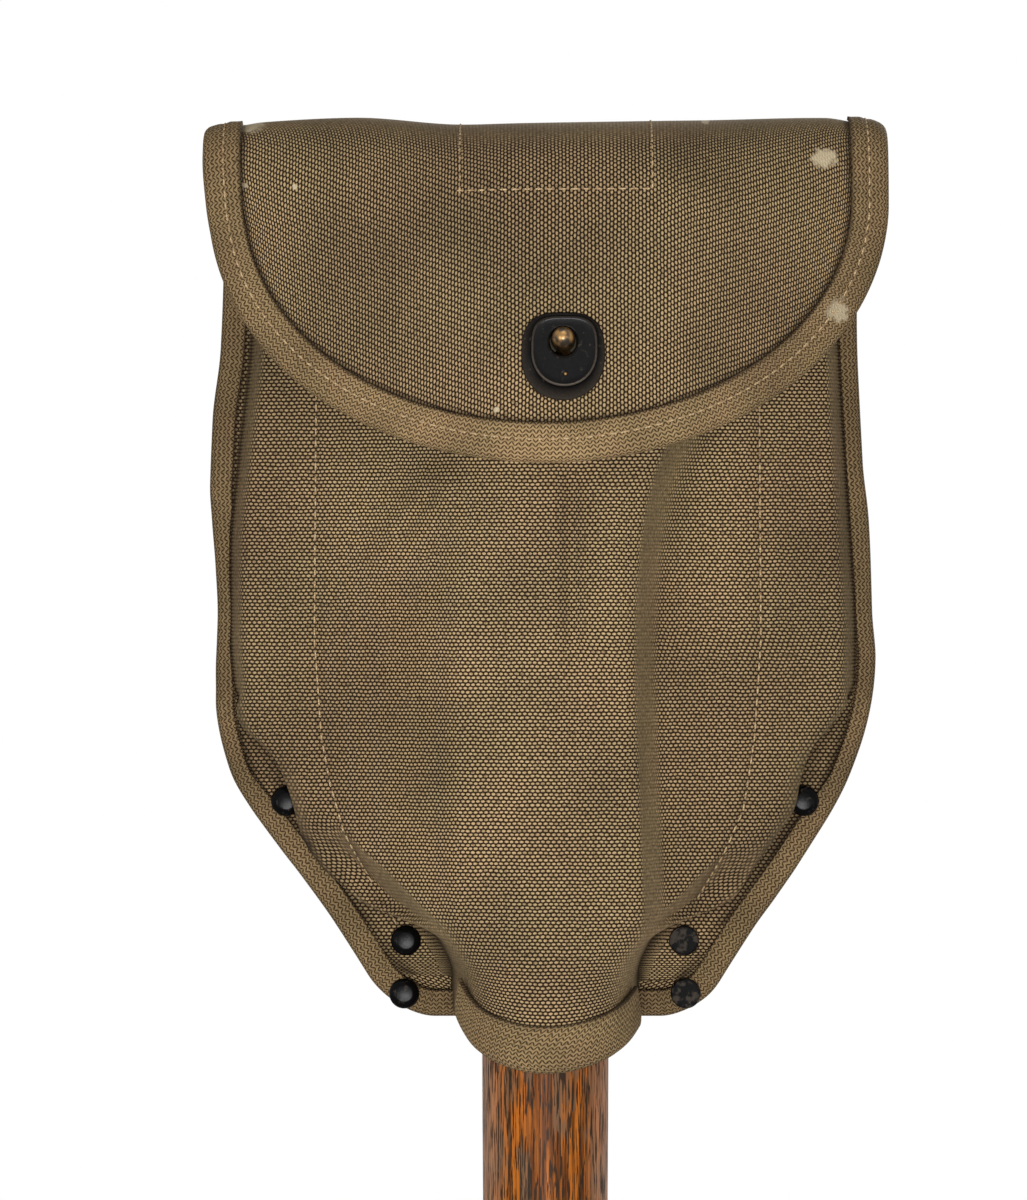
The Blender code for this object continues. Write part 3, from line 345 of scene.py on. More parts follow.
class CarrierForm:
    """Surfaces of the carrier's cloth, worked out from the frame and the sizes."""

    def __init__(self, context):
        sizes = context.scene.carrier_sizes
        for name in sizes.__annotations__:
            setattr(self, name, getattr(sizes, name))
        self.point_z = TIP_Z + self.blade_point
        self.blade_half_width = high("blade").x
        self.flank_slope = (self.side_half + self.side_belly - self.flank_foot) / self.flank_rise
        self.margin = self.gap + self.canvas
        self.edge_inset = (self.margin + self.canvas) / 2 + self.gap + self.tape
        self.edge_ease = 2.4 * MM
        self.hem_inset = self.canvas / 2 + 0.9 * MM + self.tape
        self.foot_lift = 1.7 * MM
        self.groove = self.flap_tape_width * 0.58
        self.groove_depth = 0.35 * MM
        self.foot_z = BOTTOM_Z + self.edge_inset + self.edge_ease
        self.flap_z = TOP_Z - self.flap_straight
        self.flap_drop = self.flap_z - FLAP_FOOT_Z
        self.measure_roof()
        self.sections = {}

    def measure_roof(self):
        """Length of the turn over the top, and the angle reached at each share of it."""
        power = 2 / self.roof_squareness
        angles = [i / 60 * math.pi / 2 for i in range(61)]
        reach, rise = FLANGE_Y - AXIS_Y, TOP_Z - MOUTH_Z
        path = [Vector((reach * math.sin(a) ** power, rise * abs(math.cos(a)) ** power)) for a in angles]
        run = [0.0]
        for a, b in zip(path, path[1:]):
            run.append(run[-1] + (b - a).length)
        self.roof_run = run[-1]
        self.angle_at = Section([(r / self.roof_run, a) for r, a in zip(run, angles)])
        self.share_at = Section([(a, r / self.roof_run) for r, a in zip(run, angles)])

    def at(self, x, depth, z):
        return Vector((x, FLANGE_Y - depth, z))

    def outline_half(self, z, side):
        """Half width of the carrier on the left, where side is below 0, or on the right."""
        wide = self.side_half + self.side_belly * ease((MOUTH_Z - z) / (MOUTH_Z - self.point_z))
        flank = self.flank_foot + (z - BOTTOM_Z) * self.flank_slope
        half = smooth_min(wide, flank, self.flank_round) + (EDGE_LEFT if side < 0 else EDGE_RIGHT).at(-z)
        below = min(max(BOTTOM_Z + self.corner - z, 0.0), self.corner)
        return half - self.corner + math.sqrt(self.corner**2 - below**2)

    def tape_reach(self, z, side):
        """How far the edge tape reaches in over the front, square to the edge, and the edge's lean."""
        z = max(z, BOTTOM_Z + self.corner + 1 * MM)
        step = 0.5 * MM
        fall = (self.outline_half(z + step, side) - self.outline_half(z - step, side)) / (2 * step)
        lean = 1 / math.sqrt(1 + fall**2)
        room = (self.outline_half(z, side) - seam_half(side, z)) * lean - 0.4 * MM
        return max(min(TAPE_SHOWN.at(-z), room), self.edge_inset + 0.6 * MM), lean

    def dome_top(self, z):
        """Depth of the dome's top, which eases from the nut to the haft."""
        nut_end, slope = -62.3 * MM, 50 * MM
        return between(self.dome_nut, self.dome_haft, ease((nut_end - z) / slope))

    def crown(self, x, z):
        """Depth of the dome: a broad slope on the left, the haft's plateau, a sharp fall on the right."""
        key = round(z, 5)
        if key not in self.sections:
            top = self.dome_top(z) / MM
            # Where the plateau ends on the right: further out near the nut and towards the foot
            fall = min(22.3 + 8 * math.exp((z / MM + 58) / 17), 32) + 0.045 * max(-115 - z / MM, 0)
            self.sections[key] = in_mm(
                [(-79, 14.5), (-70, 16.5), (-60, 19.5), (-50, 25), (-40, 32), (-30, 40.5), (-22, 47.5)]
                + [(-15, 52 + (top - 55.5) * 0.8), (-8, top - 0.8), (0, top), (10, top - 0.6)]
                + [(fall - 4, top - 1.4), (fall, top - 2.6), (fall + 3, top - 12), (fall + 7, top - 22)]
                + [(fall + 12, 27), (fall + 20, 24), (56, 21.5), (65, 18.5), (79, 14.5)]
            )
        return self.sections[key].at(x)

    def folds(self, x, z):
        """Waves and creases of the front canvas."""
        made = self.wrinkle * (waves(x, z, 26 * MM) + 0.5 * waves(x, z, 11 * MM, 3.0))
        for start, end, width, height in CREASES:
            made += height * MM * ridge(x / MM, z / MM, start, end, width)
        return made - 0.6 * MM * bell(stitch_line_distance(x / MM, z / MM), 1.4)

    def front_depth(self, x, z):
        """Depth of the front canvas: walls at the seam, flat flanks, and the dome over the blade."""
        foot_top, foot_run, shoulder_run = BOTTOM_Z + 42 * MM, 40 * MM, 9 * MM
        low_down = ease((foot_top - z) / foot_run)
        seam = seam_half(x, z)
        rise = math.sin(clamp((seam - abs(x)) / self.wall_run) * math.pi / 2)
        round_foot = (1 - min(abs(x) / seam, 1.0) ** 3) ** 0.45
        rise = between(rise, round_foot, low_down)
        calm = ease((MOUTH_Z - 12 * MM - z) / (10 * MM)) * ease((z - self.foot_z) / (12 * MM))
        over_blade = ease((SHOULDER.at(-z) - abs(x)) / shoulder_run + 0.5)
        top = between(self.flank_depth, self.crown(x, z), over_blade)
        return between(self.margin, top, rise) + self.folds(x, z) * rise * calm

    def front_point(self, x, z, out=0.0):
        """Point on the front canvas, or out in front of it."""
        step = 0.4 * MM
        slope_x = (self.front_depth(x + step, z) - self.front_depth(x - step, z)) / (2 * step)
        slope_z = (self.front_depth(x, z + step) - self.front_depth(x, z - step)) / (2 * step)
        normal = Vector((-slope_x, -1.0, -slope_z)).normalized()
        return self.at(x, self.front_depth(x, z), z) + normal * out

    def foot_half(self, x):
        """Half width of the foot's tape, less on the left."""
        return self.loop_half * (0.87 if x < 0 else 0.93)

    def foot_rise(self, x):
        """How far the foot's edge stands above its middle, more on the left."""
        share = min(abs(x) / self.foot_half(x), 1.0)
        return self.loop_rise * share**2 + (5.0 if x < 0 else 2.5) * MM * share**8

    def flap_run(self, z):
        """Length along the flap from the fold to a level."""
        if z <= MOUTH_Z:
            return self.roof_run + MOUTH_Z - z
        share = ((z - MOUTH_Z) / (TOP_Z - MOUTH_Z)) ** (self.roof_squareness / 2)
        return self.roof_run * self.share_at.at(math.acos(min(share, 1.0)))

    def flap_depth(self, x, z):
        """Depth of the hanging flap, with no waves round the snap."""
        calm = 14 * MM
        aside = ease((abs(x - SNAP.x) - calm) / calm)
        above = ease((abs(z - PLATE.z) - calm) / calm)
        return FLAP_SECTION.at(x) + max(aside, above) * self.wrinkle * waves(x, z, 30 * MM, 7.0)

    def flap_face(self, x, run):
        """Point on the flap at a length from its fold. Its left edge is pulled in below the top."""
        if run >= self.roof_run:
            z = MOUTH_Z - (run - self.roof_run)
            spot = self.at(x, self.flap_depth(x, z), z)
        else:
            turn = self.angle_at.at(run / self.roof_run)
            power = 2 / self.roof_squareness
            reach = self.flap_depth(x, MOUTH_Z) + FOLD_Y - FLANGE_Y
            rise = (TOP_FOLD.at(x) - MOUTH_Z) * math.cos(turn) ** power
            spot = Vector((x, FOLD_Y - reach * math.sin(turn) ** power, MOUTH_Z + rise))
        if x < 0:
            most = 1.6 * MM
            pull = ease((20 * MM - spot.z) / (22 * MM)) * (1 - ease((-22 * MM - spot.z) / (40 * MM)))
            spot.x += most * pull * (x / FLAP_HALF) ** 4
        return spot

    def flap_point(self, x, run, out=0.0):
        """Point on the flap, or out in front of it."""
        step = 0.5 * MM
        start = max(run - step, 0.2 * MM)
        across = self.flap_face(x + step, run) - self.flap_face(x - step, run)
        down = self.flap_face(x, start + 2 * step) - self.flap_face(x, start)
        return self.flap_face(x, run) + down.cross(across).normalized() * out

    def flap_edge(self, t):
        """Free edge of the flap at t from 0 to 1: x and run, and the way inward."""
        start = 4 * MM
        side = self.flap_run(self.flap_z)
        share = 0.12
        if t < share:
            return Vector((-FLAP_HALF, between(start, side, t / share))), Vector((1.0, 0.0))
        if t > 1 - share:
            return Vector((FLAP_HALF, between(start, side, (1 - t) / share))), Vector((-1.0, 0.0))
        a = math.pi * (t - share) / (1 - 2 * share)
        run = self.flap_run(self.flap_z - self.flap_drop * math.sin(a))
        spot = Vector((-FLAP_HALF * math.cos(a), run))
        inward = Vector((math.cos(a) / FLAP_HALF, -math.sin(a) / self.flap_drop)).normalized()
        return spot, inward


def tape_profile(u, front, back, radius):
    """A tape folded round an edge: inward distance and offset, from its back lip to its front lip."""
    lip = 0.36
    if u < lip:
        return between(back, radius, u / lip), -radius
    if u > 1 - lip:
        return between(radius, front, (u - 1 + lip) / lip), radius
    a = math.pi * (u - lip) / (1 - 2 * lip)
    return radius - radius * math.sin(a), -radius * math.cos(a)


def side_shade(x):
    """Painted shade: the cloth darkens softly towards the carrier's sides, where the light falls off."""
    return 0.24 * ease((abs(x) - 45 * MM) / (32 * MM))


def lip_shade_and_soil(u, v, spot):
    """A folded tape is darkest along its two lips, with dirt and painted shade where they meet the cloth, and
    painted shade towards the sides.
    """
    return max(0.9 * ease((abs(2 * u - 1) - 0.9) / 0.1), side_shade(spot.x))


def linked(name, data):
    """A new object in the scene."""
    item = bpy.data.objects.new(name, data)
    bpy.context.scene.collection.objects.link(item)
    return item


def new_object(name, bm):
    data = bpy.data.meshes.new(name)
    bm.to_mesh(data)
    bm.free()
    data.shade_smooth()
    return linked(name, data)


def cloth(
    name, columns, rows, place, thickness, facing,
    centred=True, turned=False, offset=-1.0, soil=None, flat=0, hole=0.0,
):
    """A sheet laid out by place(u, v), with its own UV map in metres along the cloth.

    centred measures each column by itself; otherwise all columns share the middle one's length.
    soil(u, v, point) gives how dark the cloth is painted, from dirt and from painted shade, from 0 to 1.
    The outer flat columns lie flat, so their weave follows x. hole is the radius of a hole for the snap.
    Where the cloth turns away from the front it is painted steep, and its weave fades there.
    """
    bm = bmesh.new()
    bmesh.ops.create_grid(bm, x_segments=columns, y_segments=rows, size=1.0)
    grid = {}
    dark = bm.verts.layers.float.new("soil")
    steep = bm.verts.layers.float.new("steep")
    for vert in bm.verts:
        u, v = (vert.co.x + 1) / 2, (vert.co.y + 1) / 2
        grid[round(u * columns), round(v * rows)] = vert
        vert.co = place(u, v)
        vert[dark] = soil(u, v, vert.co) if soil else 0.0
    bm.normal_update()
    for vert in bm.verts:
        vert[steep] = ease((0.62 - abs(vert.normal.y)) / 0.35)
    half = columns // 2
    across, along = {}, {}
    for j in range(rows + 1):
        across[half, j] = 0.0
        for i in range(half, columns):
            across[i + 1, j] = across[i, j] + (grid[i + 1, j].co - grid[i, j].co).length
        for i in range(half, 0, -1):
            across[i - 1, j] = across[i, j] - (grid[i - 1, j].co - grid[i, j].co).length
        for i in range(flat):
            across[i, j], across[columns - i, j] = grid[i, j].co.x, grid[columns - i, j].co.x
    for i in range(columns + 1):
        along[i, 0] = 0.0
        for j in range(rows):
            along[i, j + 1] = along[i, j] + (grid[i, j + 1].co - grid[i, j].co).length
    layer = bm.loops.layers.uv.new("weave")
    index = {vert: key for key, vert in grid.items()}
    for face in bm.faces:
        for loop in face.loops:
            i, j = index[loop.vert]
            spot = (across[i, j], along[i if centred else half, j])
            loop[layer].uv = (spot[1], spot[0]) if turned else spot
    look = grid[half, rows // 2].normal
    if look.dot(Vector(facing)) < 0:
        bmesh.ops.reverse_faces(bm, faces=bm.faces)
    if hole:
        gone = [face for face in bm.faces if (face.calc_center_median() - SNAP).xz.length < hole]
        bmesh.ops.delete(bm, geom=gone, context="FACES")
    item = new_object(name, bm)
    solid = item.modifiers.new("thickness", "SOLIDIFY")
    solid.thickness = thickness
    solid.offset = offset
    solid.use_quality_normals = True
    return item


def rounded(profile, radius, steps=4):
    """A profile with its inner corners rounded off."""
    points = [Vector(p) for p in profile]
    made = [points[0]]
    for a, b, c in zip(points, points[1:], points[2:]):
        reach = min(radius, (a - b).length * 0.45, (c - b).length * 0.45)
        start, end = b + (a - b).normalized() * reach, b + (c - b).normalized() * reach
        for i in range(steps + 1):
            t = i / steps
            made.append(start * (1 - t) ** 2 + b * 2 * t * (1 - t) + end * t**2)
    return made + [points[-1]]


def turned_piece(name, profile, place, steps=48):
    """A piece turned about its own Z, then set by place. The profile gives radius and height."""
    bm = bmesh.new()
    verts = [bm.verts.new((p[0], 0.0, p[1])) for p in profile]
    edges = [bm.edges.new(pair) for pair in zip(verts, verts[1:])]
    bmesh.ops.spin(
        bm, geom=verts + edges, cent=(0, 0, 0), axis=(0, 0, 1),
        angle=2 * math.pi, steps=steps, use_merge=True,
    )
    bmesh.ops.remove_doubles(bm, verts=bm.verts, dist=1e-6)
    bmesh.ops.recalc_face_normals(bm, faces=bm.faces)
    bmesh.ops.transform(bm, matrix=place, verts=bm.verts)
    return new_object(name, bm)


def forward(spot):
    """Places a turned piece with its top towards the front."""
    return Matrix.Translation(spot) @ Matrix.Rotation(math.pi / 2, 4, "X")


def looped_piece(name, loops, wear):
    """A closed ring through loops of equally many points, the last loop joined to the first.

    wear gives how bare each loop is rubbed, with its painted highlight, at its lowest point. It fades to a
    fifth at the top, so the painted highlight lies along the lower rim.
    """
    bm = bmesh.new()
    count = len(loops[0])
    bare_and_lit = bm.verts.layers.float.new("wear")
    bmesh.ops.create_grid(bm, x_segments=count, y_segments=len(loops), size=1.0)
    for vert in bm.verts:
        i = round((vert.co.x + 1) / 2 * count) % count
        j = round((vert.co.y + 1) / 2 * len(loops)) % len(loops)
        vert.co = loops[j][i]
        # Painted highlight: brightest at the loop's lower side
        vert[bare_and_lit] = wear[j] * (0.6 - 0.4 * math.sin(2 * math.pi * i / count))
    bmesh.ops.remove_doubles(bm, verts=bm.verts, dist=1e-7)
    bmesh.ops.recalc_face_normals(bm, faces=bm.faces)
    item = new_object(name, bm)
    item.data.set_sharp_from_angle(angle=math.radians(50))
    return item


def wire_piece(name, points, radius):
    """A round wire along a line of points."""
    curve = bpy.data.curves.new(name, "CURVE")
    curve.dimensions = "3D"
    curve.bevel_depth = radius
    curve.bevel_resolution = 4
    curve.use_fill_caps = True
    spline = curve.splines.new("POLY")
    spline.points.add(len(points) - 1)
    for spot, point in zip(spline.points, points):
        spot.co = (*point, 1.0)
    holder = linked(name + "_line", curve)
    bpy.context.view_layer.update()
    shown = holder.evaluated_get(bpy.context.evaluated_depsgraph_get())
    data = bpy.data.meshes.new_from_object(shown)
    bpy.data.objects.remove(holder, do_unlink=True)
    bpy.data.curves.remove(curve)
    data.name = name
    data.shade_smooth()
    return linked(name, data)


def stitches(name, rows, form):
    """Rows of stitches. A row is a list of (point, outward direction)."""
    bm = bmesh.new()
    for row in rows:
        travelled = 0.0
        due = 0.0
        for (a, out), (b, _) in zip(row, row[1:]):
            span = max((b - a).length, 1e-9)
            while due <= travelled + span:
                spot = a.lerp(b, (due - travelled) / span)
                heading = (b - a).normalized()
                side = heading.cross(out).normalized()
                turn = Matrix((heading, side, side.cross(heading) * -1)).transposed().to_4x4()
                size = Matrix.Diagonal((form.stitch / 2, form.thread / 2, form.thread / 2, 1.0))
                made = bmesh.ops.create_uvsphere(bm, u_segments=8, v_segments=5, radius=1.0)
                bmesh.ops.transform(bm, matrix=Matrix.Translation(spot) @ turn @ size, verts=made["verts"])
                due += form.stitch_pitch
            travelled += span
    bmesh.ops.recalc_face_normals(bm, faces=bm.faces)
    return new_object(name, bm)


class Finish:
    """A material's nodes, wired together by short calls."""

    def __init__(self, name, roughness, metallic=0.0):
        self.material = bpy.data.materials.new(name)
        self.material.use_nodes = True
        self.tree = self.material.node_tree
        self.shader = self.tree.nodes["Principled BSDF"]
        self.shader.inputs["Roughness"].default_value = roughness
        self.shader.inputs["Metallic"].default_value = metallic

    def node(self, kind, feeds=None, **settings):
        made = self.tree.nodes.new(kind)
        for key, value in settings.items():
            setattr(made, key, value)
        for key, value in (feeds or {}).items():
            self.feed(made.inputs[key], value)
        return made

    def feed(self, socket, value):
        if isinstance(value, bpy.types.NodeSocket):
            self.tree.links.new(value, socket)
        else:
            socket.default_value = value

    def shade(self, **feeds):
        for key, value in feeds.items():
            self.feed(self.shader.inputs[key.replace("_", " ")], value)

    def calc(self, operation, a, b=0.0, c=0.0):
        return self.node("ShaderNodeMath", {0: a, 1: b, 2: c}, operation=operation).outputs[0]

    def times(self, a, b):
        return self.calc("MULTIPLY", a, b)

    def times_plus(self, a, b, c):
        return self.calc("MULTIPLY_ADD", a, b, c)

    def plus(self, a, b):
        return self.calc("ADD", a, b)

    def minus(self, a, b):
        return self.calc("SUBTRACT", a, b)

    def over(self, a, b):
        return self.calc("DIVIDE", a, b)

    def step(self, value, start, end):
        """0 below start, 1 above end, smooth between."""
        feeds = {"Value": value, "From Min": start, "From Max": end}
        return self.node("ShaderNodeMapRange", feeds, interpolation_type="SMOOTHSTEP").outputs[0]

    def mix(self, factor, a, b, blend="MIX"):
        made = self.node("ShaderNodeMix", {0: factor}, data_type="RGBA", blend_type=blend)
        for socket, value in zip((made.inputs[6], made.inputs[7]), (a, b)):
            self.feed(socket, value if isinstance(value, bpy.types.NodeSocket) else (*value, 1.0))
        return made.outputs[2]

    def cloud(self, vector, scale, detail=2.0):
        feeds = {"Vector": vector, "Scale": scale, "Detail": detail}
        return self.node("ShaderNodeTexNoise", feeds).outputs[0]

    def object_place(self, stretch=(1.0, 1.0, 1.0)):
        spot = self.node("ShaderNodeTexCoord").outputs["Object"]
        return self.node("ShaderNodeMapping", {"Vector": spot, "Scale": stretch}).outputs[0]

    def weave_place(self):
        return self.node("ShaderNodeUVMap", uv_map="weave").outputs[0]

    def painted(self, name):
        """A value painted on the piece's own points, 0 where it has none."""
        return self.node("ShaderNodeAttribute", attribute_name=name).outputs["Fac"]

    # Darkens by the painted soil value: dirt, and painted shade along seams and lips
    def soiled(self, base):
        return self.mix(self.times(self.painted("soil"), 0.85), base, colours().soil)

    def stained(self, base, place, scale, pale, dark):
        """Large soft stains that multiply the colour, from pale down to dark."""
        cloud = self.step(self.cloud(place, scale, 4.0), 0.3, 0.7)
        shade = self.times_plus(cloud, dark - pale, pale)
        tone = self.node("ShaderNodeCombineColor", {0: shade, 1: shade, 2: shade}).outputs[0]
        return self.mix(1.0, base, tone, "MULTIPLY")

    def split(self, vector):
        made = self.node("ShaderNodeSeparateXYZ", {0: vector})
        return made.outputs[0], made.outputs[1], made.outputs[2]

    def bump(self, height, strength, distance):
        feeds = {"Height": height, "Strength": strength, "Distance": distance}
        self.feed(self.shader.inputs["Normal"], self.node("ShaderNodeBump", feeds).outputs[0])


def colours():
    return bpy.context.scene.finishes


def worn_spots(finish, spots):
    """Pale worn spots at (x, z, half width, half height), ragged at the edge."""
    spot = finish.object_place()
    x, _, z = finish.split(spot)
    ragged = finish.times(finish.cloud(spot, 520.0, 5.0), 1.5)
    worn = None
    for sx, sz, rx, rz in spots:
        dx = finish.over(finish.minus(x, sx * MM), rx * MM)
        dz = finish.over(finish.minus(z, sz * MM), rz * MM)
        square = finish.plus(finish.calc("POWER", dx, 2.0), finish.calc("POWER", dz, 2.0))
        made = finish.step(finish.plus(finish.calc("SQRT", square), ragged), 1.9, 1.35)
        worn = made if worn is None else finish.calc("MAXIMUM", worn, made)
    return worn


def cloth_looks(finish, base, spots, yarn, strength, distance):
    """Wears a cloth's colour, darkens it with soil and painted shade, and raises its yarns."""
    if spots:
        base = finish.mix(worn_spots(finish, spots), base, colours().worn)
    finish.shade(Base_Color=finish.soiled(base), Specular_IOR_Level=0.15)
    finish.bump(yarn, strength, distance)
    return finish.material


# Weave of the duck: from yarn to yarn across, and from row to row
PITCH = 1.38 * MM
ROW = 0.95 * MM


def canvas_finish(name, spots=(), tone=1.0):
    """Cotton duck: pale yarns rising in offset rows from dark gaps, with brown and green patches."""
    kept = colours()
    finish = Finish(name, 0.92)
    place = finish.weave_place()
    u, v, _ = finish.split(place)
    drift = finish.cloud(place, 190.0, 2.0)
    aside = finish.node("ShaderNodeMapping", {0: place, "Location": (3.1, 1.7, 0)}).outputs[0]
    sway = finish.cloud(aside, 230.0)
    u = finish.plus(u, finish.times(finish.minus(drift, 0.5), 0.7 * MM))
    v = finish.plus(v, finish.times(finish.minus(sway, 0.5), 0.6 * MM))
    row = finish.calc("ROUND", finish.over(v, ROW))
    u = finish.times_plus(finish.calc("PINGPONG", row, 1.0), PITCH / 2, u)
    across = finish.over(finish.calc("PINGPONG", u, PITCH / 2), 0.52 * MM)
    along = finish.over(finish.calc("PINGPONG", v, ROW / 2), 0.33 * MM)
    away = finish.times_plus(across, across, finish.times(along, along))
    yarn = finish.step(away, 1.6, 0.15)
    fade = finish.times(finish.painted("steep"), 0.75)
    yarn = finish.times_plus(fade, finish.minus(0.42, yarn), yarn)
    slub = finish.cloud(place, 900.0, 2.0)
    lit = finish.times(yarn, finish.times_plus(slub, 2.4, -0.16))
    patch = finish.step(finish.cloud(place, 24.0, 5.0), 0.38, 0.62)
    tint = finish.mix(patch, kept.canvas_green, kept.canvas_brown)
    yarn_colour = finish.mix(0.42, kept.canvas_yarn, tint)
    base = finish.mix(lit, kept.canvas_gap, yarn_colour)
    base = finish.stained(base, place, 20.0, 1.04 * tone, 0.68 * tone)
    return cloth_looks(finish, base, spots, yarn, 0.5, 0.2 * MM)


def tape_finish(name, spots=(), tone=1.0):
    """Herringbone cotton tape, its chevrons side by side across the width."""
    kept = colours()
    finish = Finish(name, 0.92)
    place = finish.weave_place()
    u, v, _ = finish.split(place)
    drift = finish.minus(finish.cloud(place, 260.0, 2.0), 0.5)
    zig = finish.calc("PINGPONG", v, 0.9 * MM)
    run = finish.plus(u, finish.times_plus(drift, 1.1 * MM, zig))
    rib = finish.calc("SINE", finish.times(run, 2 * math.pi / (1.15 * MM)))
    spine = finish.calc("COSINE", finish.times(v, 2 * math.pi / (0.9 * MM)))
    yarn = finish.times_plus(spine, 0.4, rib)
    slub = finish.cloud(place, 1100.0, 2.0)
    lit = finish.times(finish.step(yarn, -0.9, 0.35), finish.times_plus(slub, 2.6, -0.3))
    base = finish.mix(lit, kept.tape_gap, kept.tape_yarn)
    patch = finish.step(finish.cloud(place, 60.0, 3.0), 0.35, 0.65)
    base = finish.mix(0.15, base, finish.mix(patch, kept.canvas_green, kept.canvas_brown))
    base = finish.stained(base, place, 34.0, 1.1 * tone, 0.72 * tone)
    return cloth_looks(finish, base, spots, yarn, 0.45, 0.18 * MM)


def thread_finish(name):
    """Twisted cotton thread."""
    finish = Finish(name, 0.85)
    grain = finish.cloud(finish.object_place(), 2600.0, 2.0)
    base = finish.mix(finish.step(grain, 0.35, 0.65), colours().canvas_brown, colours().thread)
    finish.shade(Base_Color=base)
    finish.bump(grain, 0.4, 0.1 * MM)
    return finish.material


def japan_finish(name, rubbed=0.6, roughness=0.16):
    """Black japanned metal, rubbed grey where its cloud is above rubbed, and painted pale by a piece's wear
    value, which holds wear and a painted highlight.
    """
    kept = colours()
    finish = Finish(name, 0.42)
    place = finish.object_place()
    cloud = finish.cloud(place, 600.0, 5.0)
    rub = finish.times(finish.step(cloud, rubbed, rubbed + 0.16), 0.7)
    speck = finish.cloud(place, 1900.0, 3.0)
    bare_and_lit = finish.times(finish.painted("wear"), finish.times_plus(speck, 1.2, 0.3))
    base = finish.mix(finish.calc("MAXIMUM", rub, bare_and_lit), kept.japan, kept.japan_worn)
    gloss = finish.times_plus(speck, 0.12, roughness)
    finish.shade(Base_Color=base, Roughness=gloss, Specular_IOR_Level=0.05)
    finish.bump(speck, 0.1, 0.05 * MM)
    return finish.material


def steel_finish(name):
    """Painted steel, scuffed through to the metal."""
    kept = colours()
    finish = Finish(name, 0.5, 0.4)
    place = finish.object_place()
    scuff = finish.step(finish.cloud(place, 45.0, 12.0), 0.5, 0.8)
    scratch = finish.step(finish.cloud(finish.object_place((1300.0, 1300.0, 40.0)), 1.0, 3.0), 0.6, 0.74)
    worn = finish.calc("MAXIMUM", finish.times(scuff, 0.35), finish.times(scratch, 0.25))
    grain = finish.cloud(place, 1400.0, 3.0)
    finish.shade(
        Base_Color=finish.mix(worn, kept.steel, kept.steel_worn),
        Metallic=finish.times_plus(worn, 0.6, 0.3),
        Roughness=finish.times_plus(grain, 0.3, 0.36),
    )
    finish.bump(grain, 0.2, 0.1 * MM)
    return finish.material


def brass_finish(name):
    """Brass gone brown, bright where it is handled."""
    finish = Finish(name, 0.36, 1.0)
    place = finish.object_place()
    dull = finish.step(finish.cloud(place, 420.0, 4.0), 0.4, 0.65)
    finish.shade(Base_Color=finish.mix(dull, colours().brass, colours().japan_worn))
    finish.bump(finish.cloud(place, 1500.0, 2.0), 0.2, 0.06 * MM)
    return finish.material


def wood_finish(name):
    """Varnished ash: orange bands, dark late wood, short open pores, grey weathered streaks and a painted
    sheen down its left and right sides.
    """
    kept = colours()
    finish = Finish(name, 0.33)
    bands = finish.cloud(finish.object_place((700.0, 700.0, 24.0)), 1.0, 5.0)
    pores = finish.cloud(finish.object_place((2400.0, 2400.0, 130.0)), 1.0, 4.0)
    streak = finish.cloud(finish.object_place((170.0, 170.0, 44.0)), 1.0, 6.0)
    x, _, _ = finish.split(finish.object_place())
    # Painted sheen: the haft's left and right sides are painted pale, as the varnish reflects at a grazing
    # angle.
    side = finish.step(finish.calc("ABSOLUTE", x), 9 * MM, 15.5 * MM)
    base = finish.mix(finish.step(bands, 0.4, 0.62), kept.wood, kept.wood_dark)
    base = finish.mix(finish.times(finish.step(streak, 0.52, 0.6), 0.75), base, kept.wood_grey)
    base = finish.mix(finish.times(side, 0.75), base, kept.wood_pale)
    base = finish.mix(finish.times(finish.step(pores, 0.5, 0.56), 0.95), base, kept.wood_pore)
    finish.shade(
        Base_Color=base,
        Roughness=finish.times_plus(pores, 0.3, 0.35),
        Specular_IOR_Level=0.05,
        Coat_Weight=0.06,
        Coat_Roughness=0.34,
    )
    finish.bump(finish.times(finish.step(pores, 0.5, 0.7), -1.0), 0.35, 0.15 * MM)
    return finish.material


# Finishes by name: the slot that each one fills, and how it is made
LOOKS = {
    "carrier_duck": ("olive_canvas", canvas_finish),
    "flap_duck": ("olive_canvas", canvas_finish, FLAP_SPOTS, 0.86),
    "carrier_tape": ("twill_tape", tape_finish, (), 0.8),
    "foot_tape": ("twill_tape", tape_finish, (), 0.95),
    "flap_tape": ("twill_tape", tape_finish, TAPE_SPOTS),
    "sewing_thread": ("twill_tape", thread_finish),
    "black_japan_looks": ("black_japan", japan_finish),
    "rubbed_japan_looks": ("black_japan", japan_finish, 0.46, 0.45),
    "painted_steel_looks": ("painted_steel", steel_finish),
    "aged_brass_looks": ("aged_brass", brass_finish),
    "varnished_ash_looks": ("varnished_ash", wood_finish),
}


def coat(item, look):
    """Gives an object a finish in place of what it had."""
    _, make, *settings = LOOKS[look]
    item.data.materials.clear()
    item.data.materials.append(bpy.data.materials.get(look) or make(look, *settings))


def dress(item, look, body, *nodes):
    """Gives a piece its finish, its body and the CAD nodes that it stands for."""
    coat(item, look)
    if body == "fold":
        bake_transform(item)
    else:
        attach(item, body)
    if nodes:
        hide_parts(*nodes)
    return item


class CARRIER_OT_back(bpy.types.Operator):
    """Flat canvas back of the carrier"""

    bl_idname = "carrier.back"
    bl_label = "Back Canvas"

    def execute(self, context):
        form = CarrierForm(context)
        top = TOP_Z - 0.5 * MM
        wide_end = MOUTH_Z + 2 * MM
        wide_top = TOP_Z - form.canvas - 1.2 * MM
        overhang = FLAP_HALF - form.side_half

        def place(u, v):
            z = between(top, form.foot_z, v)
            half = form.outline_half(z, u - 0.5) - form.edge_inset - form.edge_ease
            half += overhang * ease((z - wide_end) / (wide_top - wide_end))
            x = (2 * u - 1) * half
            turn_in = 0.6 * MM * ease((z - wide_top) / (top - wide_top))
            return Vector((x, BACK_Y - turn_in + 0.12 * MM * waves(x, z, 24 * MM, 5.0), z))

        item = cloth("back_canvas", 60, 110, place, form.canvas, (0, 1, 0))
        dress(item, "carrier_duck", "carrier", "back_panel")
        return {"FINISHED"}


